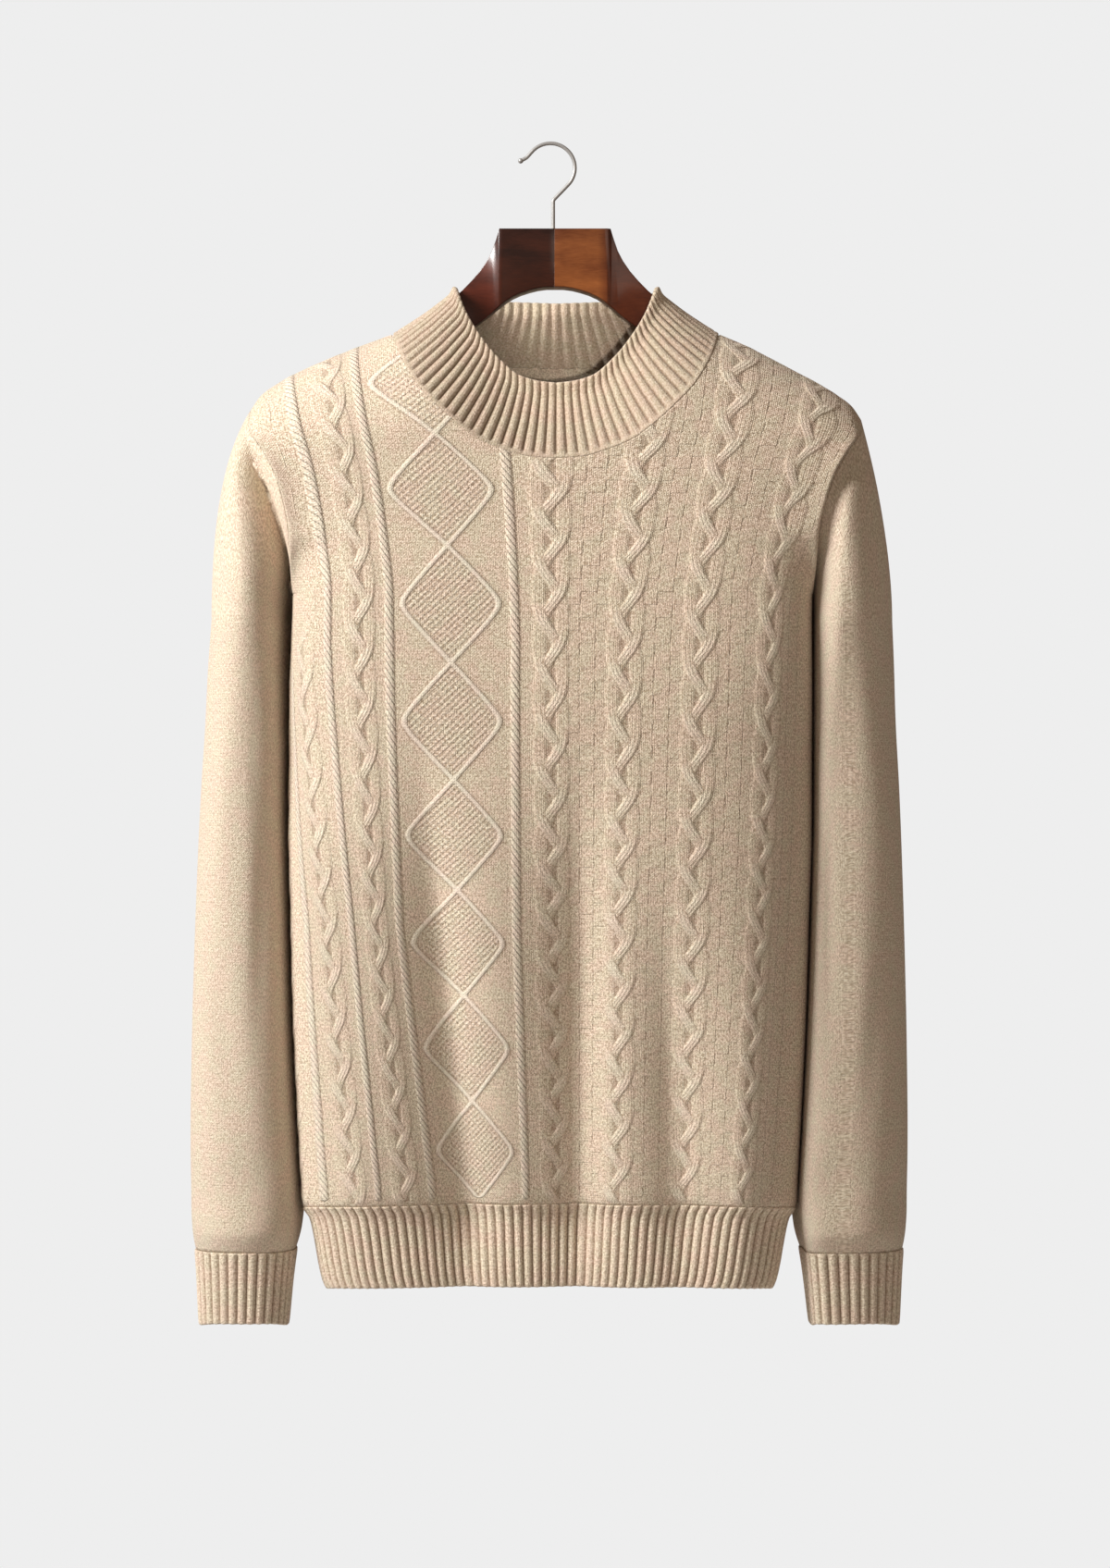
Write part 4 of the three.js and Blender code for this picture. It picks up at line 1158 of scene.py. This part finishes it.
def melange(given):
    """Flecked yarn: grain and streaks along the wales, clouds of two casts, stray fibres, a painted
    highlight that lightens raised stitches towards the fibre colour, and painted shade that darkens
    hollows of the knit."""
    fabric = given["Fabric"]
    streaks = noise(stretch(fabric, (0.8, 0.42, 1)), 1.0, 2.0, 0.5)
    grain = noise(stretch(fabric, (1.0, 0.75, 1)), 1.0, 1.0, 0.5)
    clouds = noise(fabric, 0.07, 3.0, 0.55)
    flecks = noise(stretch(fabric, (0.8, 0.6, 1)), 1.3, 2.0, 0.5)
    colour = blend_colour(remap(streaks * 0.5 + grain * 0.5, 0.42, 0.58), given["Dark"], given["Light"])
    colour = blend_colour(remap(flecks, 0.58, 0.7) * given["Flecks"], colour, given["Fibre"])
    colour = blend_colour(remap(flecks, 0.42, 0.3) * given["Flecks"], colour, given["Dark"])
    # Painted highlight: raised stitches are lightened towards the fibre colour.
    colour = blend_colour(given["Raised"], colour, given["Fibre"])
    cast = blend_colour(remap(clouds, 0.4, 0.6), (1.0, 0.955, 0.945, 1), (0.965, 1.0, 0.955, 1))
    # Painted shade: the knit's hollows are darkened towards a warm brown.
    shade = blend_colour(given["Hollow"], (1, 1, 1, 1), (0.34, 0.24, 0.18, 1))
    return {"Color": tinted(tinted(colour, cast), shade)}


def stitches(given):
    """Plain knit: each wale is a chain of V-shaped loops. Height is in millimetres."""
    wale, course, _ = parts_of(given["Fabric"])
    aside = abs(calc("FRACT", wale / given["Wale"]) - 0.5) * 2.0
    loops = calc("COSINE", (course / given["Course"] - aside * 0.55) * (2 * math.pi)) * 0.5
    leg = calc("SINE", aside * math.pi)
    return {"Height": (loops * 0.55 + leg * 0.5) * given["Depth"]}


def fuzz(given):
    """Loose fibres that blur the stitches. Height is in millimetres."""
    fine = noise(given["Fabric"], 1.0, 3.0, 0.7)
    soft = noise(given["Fabric"], 0.35, 2.0, 0.5)
    return {"Height": (fine + soft * 0.8) * given["Depth"]}


def braid(given):
    """Three plaited strands, each with its own fine wales. Across and height are in millimetres.
    It also gives painted shade where strands meet and at the low outline near the middle, and a
    painted highlight on the strands' high parts.
    """
    strands, ridges = [], []
    for strand in range(3):
        at = given["Turn"] + 2 * math.pi * strand / 3
        swing = calc("TANH", calc("SINE", at) * PLAIT_TURN)
        aside = given["Across"] - swing * (PLAIT_SWING / math.tanh(PLAIT_TURN))
        rise = (calc("SINE", at * 2.0 + PLAIT_PHASE) * 0.5 + 0.5) ** PLAIT_POWER
        body = calc("SQRT", highest(1.0 - (abs(aside) / PLAIT_STRAND) ** 3.2, 0.0))
        strands.append((rise * PLAIT_HIGH + PLAIT_LOW) * body)
        ridges.append(strands[-1] * (calc("COSINE", aside * (2 * math.pi / 2.9)) * 0.11 + 1.0))
    height = highest(*ridges)
    over = highest(strands[0], strands[1])
    under = highest(lowest(strands[0], strands[1]), lowest(over, strands[2]))
    over = highest(over, strands[2])
    # Painted shade where one strand dives under another, and at the plait's low parts near its middle.
    meeting = remap(over - under, 0.22, 0.0) * remap(under, 0.1, 0.5)
    near_middle = remap(abs(given["Across"]), 2.0, 7.0, 1.0, 0.0)
    hollow = highest(remap(height, 0.25, 0.0) * near_middle, meeting)
    # Painted highlight on the strands' highest parts.
    raised = remap(height, 0.8, 1.45)
    mask = given["Mask"]
    return {"Height": height * mask, "Hollow": hollow * mask, "Raised": raised * mask}


def rope(given):
    """A twisted rope: slanting plies with notches between them. From and Side are measured from the
    rope's middle in millimetres. It also gives painted shade in the notches, heavier on the rope's
    +X side, and a painted highlight on the plies."""
    wale, course, _ = parts_of(given["Fabric"])
    along = abs(calc("FRACT", (course + wale * 1.3) / 5.4) - 0.5) * 2.0
    ply = calc("SQRT", 1.0 - along ** 3.0)
    body = highest(1.0 - (given["From"] / (ply * 1.2 + 2.6)) ** 2.4, 0.0)
    # Painted shade in the notches between plies, stronger on the +X side, which is turned from the light.
    notch = remap(along, 0.7, 1.0) * remap(abs(given["From"] - 3.0), 1.7, 0.3)
    notch = notch * remap(given["Side"], -3.0, 3.0, 0.35, 0.8)
    return {"Height": body * (ply * 1.3 + 0.1), "Hollow": notch, "Raised": body * ply}


VECTOR, FLOAT, COLOUR = "NodeSocketVector", "NodeSocketFloat", "NodeSocketColor"
MELANGE = effect_group(
    "Melange yarn",
    [("Fabric", VECTOR, None), ("Light", COLOUR, None), ("Dark", COLOUR, None),
     ("Fibre", COLOUR, None), ("Flecks", FLOAT, 0.4), ("Hollow", FLOAT, 0.0), ("Raised", FLOAT, 0.0)],
    [("Color", COLOUR)], melange)
STITCHES = effect_group(
    "Knit stitches",
    [("Fabric", VECTOR, None), ("Wale", FLOAT, 2.3), ("Course", FLOAT, 1.8), ("Depth", FLOAT, 0.3)],
    [("Height", FLOAT)], stitches)
FUZZ = effect_group(
    "Wool fuzz", [("Fabric", VECTOR, None), ("Depth", FLOAT, 0.3)], [("Height", FLOAT)], fuzz)
BRAID = effect_group(
    "Three-strand plait", [("Across", FLOAT, 0.0), ("Turn", FLOAT, 0.0), ("Mask", FLOAT, 1.0)],
    [("Height", FLOAT), ("Hollow", FLOAT), ("Raised", FLOAT)], braid)
ROPE = effect_group(
    "Twisted rope", [("Fabric", VECTOR, None), ("From", FLOAT, 0.0), ("Side", FLOAT, 0.0)],
    [("Height", FLOAT), ("Hollow", FLOAT), ("Raised", FLOAT)], rope)

WOOL_LIGHT = (0.85, 0.72, 0.585, 1)
WOOL_DARK = (0.56, 0.44, 0.33, 1)
WOOL_DARKER = (0.47, 0.355, 0.255, 1)
WOOL_FIBRE = (0.95, 0.87, 0.77, 1)


def new_material(name):
    material = bpy.data.materials.new(name)
    material.use_nodes = True
    return material, material.node_tree


def finish_shader(material, values):
    tree = material.node_tree
    for name, value in values.items():
        feed(tree, tree.nodes["Principled BSDF"].inputs[name], value)
    return material


def place_group(tree, group, **values):
    node = add(tree, "ShaderNodeGroup", node_tree=group)
    for name, value in values.items():
        feed(tree, node.inputs[name], value)
    return {socket.name: Field(tree, socket) for socket in node.outputs}


def measure(tree, name):
    return Field(tree, add(tree, "ShaderNodeAttribute", attribute_name=name).outputs["Fac"])


def raised_pattern(tree, fabric):
    """Height of the front's stitches: plaits, ropes, diamonds, moss stitch, basket; with painted shade in
    their hollows and a painted highlight on their raised parts.
    """
    wale, course, _ = parts_of(fabric)
    plait = place_group(tree, BRAID, Across=measure(tree, "across"), Turn=measure(tree, "turn"),
                        Mask=measure(tree, "braid"))
    cord = place_group(tree, ROPE, Fabric=fabric, From=measure(tree, "rope"), Side=measure(tree, "rope_side"))

    from_line = abs(measure(tree, "line"))
    line = calc("SQRT", highest(1.0 - (from_line / 1.8) ** 2.0, 0.0))
    # Painted shade along both sides of the diamond's travelling line.
    beside = remap(abs(from_line - 2.2), 1.3, 0.1)

    wander = noise(fabric, 0.4, 2.0, 0.5)
    course = course + wander * 2.0
    uneven = remap(noise(fabric, 0.9, 1.0, 0.5), 0.35, 0.65, 0.15, 0.65)
    dots = calc("SINE", wale * (math.pi / 2.6)) * calc("SINE", course * (math.pi / 2.3))
    dots = dots * uneven * measure(tree, "moss")

    from_middle = wale + (wander - 0.5) * 2.5 - BASKET_MIDDLE
    aside = abs(calc("WRAP", from_middle, -BASKET_PERIOD / 2, BASKET_PERIOD / 2)) - 5.6
    bands = remap(calc("SINE", course * (math.pi / 8.6)), -0.14, 0.14, -1.0, 1.0)
    checks = remap(aside, -0.3, 0.3, 1.0, -1.0) * bands
    groove = remap(abs(aside), 0.7, 0.0)
    basket = measure(tree, "basket")
    blocks = (checks * 0.2 - groove * 0.3) * basket
    # Painted shadow in the grooves between basket blocks, darker beside a raised block.
    dashes = groove * remap(checks, -1.0, 1.0, 0.08, 0.45) * remap(wander, 0.38, 0.55, 0.4, 1.3)

    height = plait["Height"] + cord["Height"] + line * 0.9 + dots + blocks
    # Painted shade from plaits, ropes, diamond lines, basket grooves and the low parts of the moss stitch.
    hollow = highest(plait["Hollow"] * 0.42, cord["Hollow"], dashes * basket, beside * 0.26,
                     remap(dots, -0.05, -0.4) * 0.3)
    # Painted highlight on diamond lines, moss dots, plaits and ropes.
    raised = highest(line * 0.5, remap(dots, 0.1, 0.5) * 0.5, plait["Raised"] * 0.3, cord["Raised"] * 0.35)
    return height, hollow, raised


def knit_material(name, wale, course, depth, light=WOOL_LIGHT, dark=WOOL_DARK, fuzz_depth=0.6,
                  cabled=False, ribbed=False):
    material, tree = new_material(name)
    fabric = Field(tree, add(tree, "ShaderNodeUVMap", uv_map="Fabric").outputs[0])
    loops = place_group(tree, STITCHES, Fabric=fabric, Wale=wale, Course=course, Depth=depth)
    fibres = place_group(tree, FUZZ, Fabric=fabric, Depth=fuzz_depth)
    height, hollow, raised = loops["Height"], 0.0, 0.0
    # The cable pattern brings its own painted shade and painted highlight.
    if cabled:
        pattern, hollow, raised = raised_pattern(tree, fabric)
        height = height + pattern
    if ribbed:
        # Painted shade in the ribs' sunken wales.
        hollow = measure(tree, "hollow") * 0.75
    yarn = place_group(tree, MELANGE, Fabric=fabric, Light=light, Dark=dark, Fibre=WOOL_FIBRE, Flecks=0.5,
                       Hollow=hollow, Raised=raised)
    return finish_shader(material, {
        "Base Color": yarn["Color"],
        "Normal": bumped(height + fibres["Height"], MM),
        "Roughness": 0.95,
        "Specular IOR Level": 0.15,
        "Sheen Weight": 0.25,
        "Sheen Roughness": 0.5,
        "Sheen Tint": (1.0, 0.95, 0.88, 1),
    })


def wood_material(name, dark, light, arm, grain):
    """Stained wood under gloss lacquer: long grain, pores and darker bands. Beyond the block's flat
    face the colour is multiplied by a tint given per board: painted light on the right board's arm,
    painted shade on the left board's arm.
    """
    material, tree = new_material(name)
    coordinates = add(tree, "ShaderNodeTexCoord")
    place = Field(tree, coordinates.outputs["Object"])
    bands = noise(stretch(place, (22, 60, 60)), 1.0, 3.0, 0.5)
    pores = noise(stretch(place, (140, 900, 900)), 1.0, 4.0, 0.6)
    colour = blend_colour(remap(bands * 0.7 + pores * grain, 0.35, 0.75), dark, light)
    # Beyond the block's flat face the arm takes the board's tint: painted light on the right board, painted
    # shade on the left.
    beyond_block = remap(abs(parts_of(place)[0]), 0.034, 0.042)
    upward = parts_of(Field(tree, coordinates.outputs["Normal"]))[2]
    return finish_shader(material, {
        "Base Color": blend_colour(beyond_block, colour, tinted(colour, arm)),
        "Normal": bumped(pores, 0.05 * MM),
        "Roughness": remap(pores, 0.3, 0.7, 0.34, 0.44),
        "Specular IOR Level": 0.2,
        "Coat Weight": remap(upward, -0.7, -0.3),
        "Coat Roughness": 0.2,
        "Coat IOR": 1.5,
    })


def wire_material():
    material, tree = new_material("Bright plated wire")
    place = Field(tree, add(tree, "ShaderNodeTexCoord").outputs["Object"])
    wear = noise(place, 120.0, 2.0, 0.5)
    return finish_shader(material, {
        "Base Color": blend_colour(wear, (0.36, 0.35, 0.34, 1), (0.44, 0.43, 0.42, 1)),
        "Metallic": 0.35,
        "Roughness": 0.36,
    })


# ---- Assembling the garment -------------------------------------------------------------------------

KNITS = {
    "cable_knit": knit_material("Cabled melange wool", 2.3, 1.75, 0.35, dark=WOOL_DARKER, fuzz_depth=0.4,
                                cabled=True),
    "plain_knit": knit_material("Plain melange wool", 2.3, 1.75, 0.25, fuzz_depth=0.9),
    "rib_knit": knit_material("Ribbed melange wool", 3.15, 2.1, 0.2, ribbed=True),
    # The collar is the rib wool made darker: painted shade over the whole collar.
    "collar": knit_material("Ribbed melange wool, collar in painted shade", 3.15, 2.1, 0.2, light=(0.62, 0.51, 0.405, 1),
                            dark=(0.46, 0.355, 0.26, 1), ribbed=True),
}


def finish_piece(piece, nodes, material):
    piece.data.materials.clear()
    piece.data.materials.append(material)
    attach(piece, "root")
    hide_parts(*nodes)
    return piece


front = finish_piece(front_panel(), ["front_panel"], KNITS["cable_knit"])
back = finish_piece(back_panel(), ["back_panel"], KNITS["plain_knit"])
collar_piece = finish_piece(collar(), ["collar"], KNITS["collar"])
hem_front = finish_piece(hem_band(FRONT, "hem_front_rib", 62), ["hem_front"], KNITS["rib_knit"])
hem_back = finish_piece(hem_band(BACK, "hem_back_rib", 60), ["hem_back"], KNITS["rib_knit"])

for side, hand in (("right", -1), ("left", 1)):
    arm = sleeve(hand, f"sleeve_{side}_knit")
    finish_piece(arm, [f"sleeve_{side}_head", f"sleeve_{side}"], KNITS["plain_knit"])
    band = cuff(hand, f"cuff_{side}_rib")
    finish_piece(band, [f"cuff_{side}"], KNITS["rib_knit"])

# The two boards are one wood in a shaded and a lit copy: the right board is darkened as painted shade with
# its arm lightened as painted light; the left board is lightened as painted light with its arm darkened as
# painted shade.
WOODS = {
    "right": wood_material("Mahogany stain, board in painted shade", (0.015, 0.003, 0.0015, 1), (0.062, 0.013, 0.005, 1),
                           (2.1, 1.7, 1.7, 1), 0.25),
    "left": wood_material("Mahogany stain, board in painted light", (0.09, 0.021, 0.005, 1), (0.25, 0.078, 0.02, 1),
                          (0.4, 0.26, 0.25, 1), 0.3),
}
for side, hand in (("right", -1), ("left", 1)):
    board = hanger_half(hand, f"hanger_{side}_board")
    finish_piece(board, [f"hanger_{side}_half"], WOODS[side])
finish_piece(hook(), ["hook"], wire_material())

# ---- Floor, light and camera ----------------------------------------------------------------------


def plain_material(name, colour):
    material, _ = new_material(name)
    return finish_shader(material, {"Base Color": colour, "Roughness": 0.9})


bpy.ops.object.select_all(action="DESELECT")
bpy.ops.mesh.primitive_plane_add(size=6, location=(0, -1.5, -1.75))
floor = bpy.context.object
floor.name = "floor"
floor.data.materials.append(plain_material("Pale studio floor", (0.8, 0.8, 0.8, 1)))
floor.visible_glossy = False


def place_light(data, place, aim):
    light = bpy.data.objects.new(data.name, data)
    light.location = place
    light.rotation_euler = (Vector(aim) - Vector(place)).to_track_quat("-Z", "Y").to_euler()
    bpy.context.collection.objects.link(light)
    return light


def soft_light(name, place, aim, size, power, colour):
    data = bpy.data.lights.new(name, "AREA")
    data.shape = "RECTANGLE"
    data.size, data.size_y = size
    data.energy = power
    data.color = colour
    place_light(data, place, aim)


soft_light("Key", (-2.0, -1.12, 1.0), (0, 0, -0.42), (1.0, 1.1), 120, (1.0, 0.995, 0.98))
soft_light("Fill", (1.3, -2.6, 0.5), (0, 0, -0.3), (1.6, 1.6), 7.5, (1.0, 0.88, 0.77))

neck_data = bpy.data.lights.new("Neck light", "SPOT")
neck_data.energy = 100
neck_data.color = (1.0, 0.93, 0.84)
neck_data.spot_size = math.radians(3.3)
neck_data.spot_blend = 0.5
neck_data.shadow_soft_size = 0.03
neck_light = place_light(neck_data, (0.12, -2.3, -0.42), (0.014, 0.045, -0.122))
neck_light.visible_glossy = False

world = bpy.data.worlds.new("Studio")
bpy.context.scene.world = world
world.use_nodes = True
tree = world.node_tree
tree.nodes.clear()
backdrop = add(tree, "ShaderNodeBackground")
backdrop.inputs["Color"].default_value = (0.855, 0.855, 0.855, 1)
room = add(tree, "ShaderNodeBackground")
room.inputs["Color"].default_value = (1.0, 0.78, 0.6, 1)
room.inputs["Strength"].default_value = 0.17
rays = add(tree, "ShaderNodeLightPath")
either = add(tree, "ShaderNodeMixShader")
out = add(tree, "ShaderNodeOutputWorld")
tree.links.new(rays.outputs["Is Camera Ray"], either.inputs[0])
tree.links.new(room.outputs[0], either.inputs[1])
tree.links.new(backdrop.outputs[0], either.inputs[2])
tree.links.new(either.outputs[0], out.inputs["Surface"])

camera_data = bpy.data.cameras.new("Camera")
camera_data.lens = 96.54
camera_data.sensor_width = 36
camera = bpy.data.objects.new("Camera", camera_data)
camera.location = (0.0033, -3.0, -0.4557)
camera.rotation_euler = (math.radians(90), 0, 0)
bpy.context.collection.objects.link(camera)
scene = bpy.context.scene
scene.camera = camera
scene.view_settings.view_transform = "Standard"
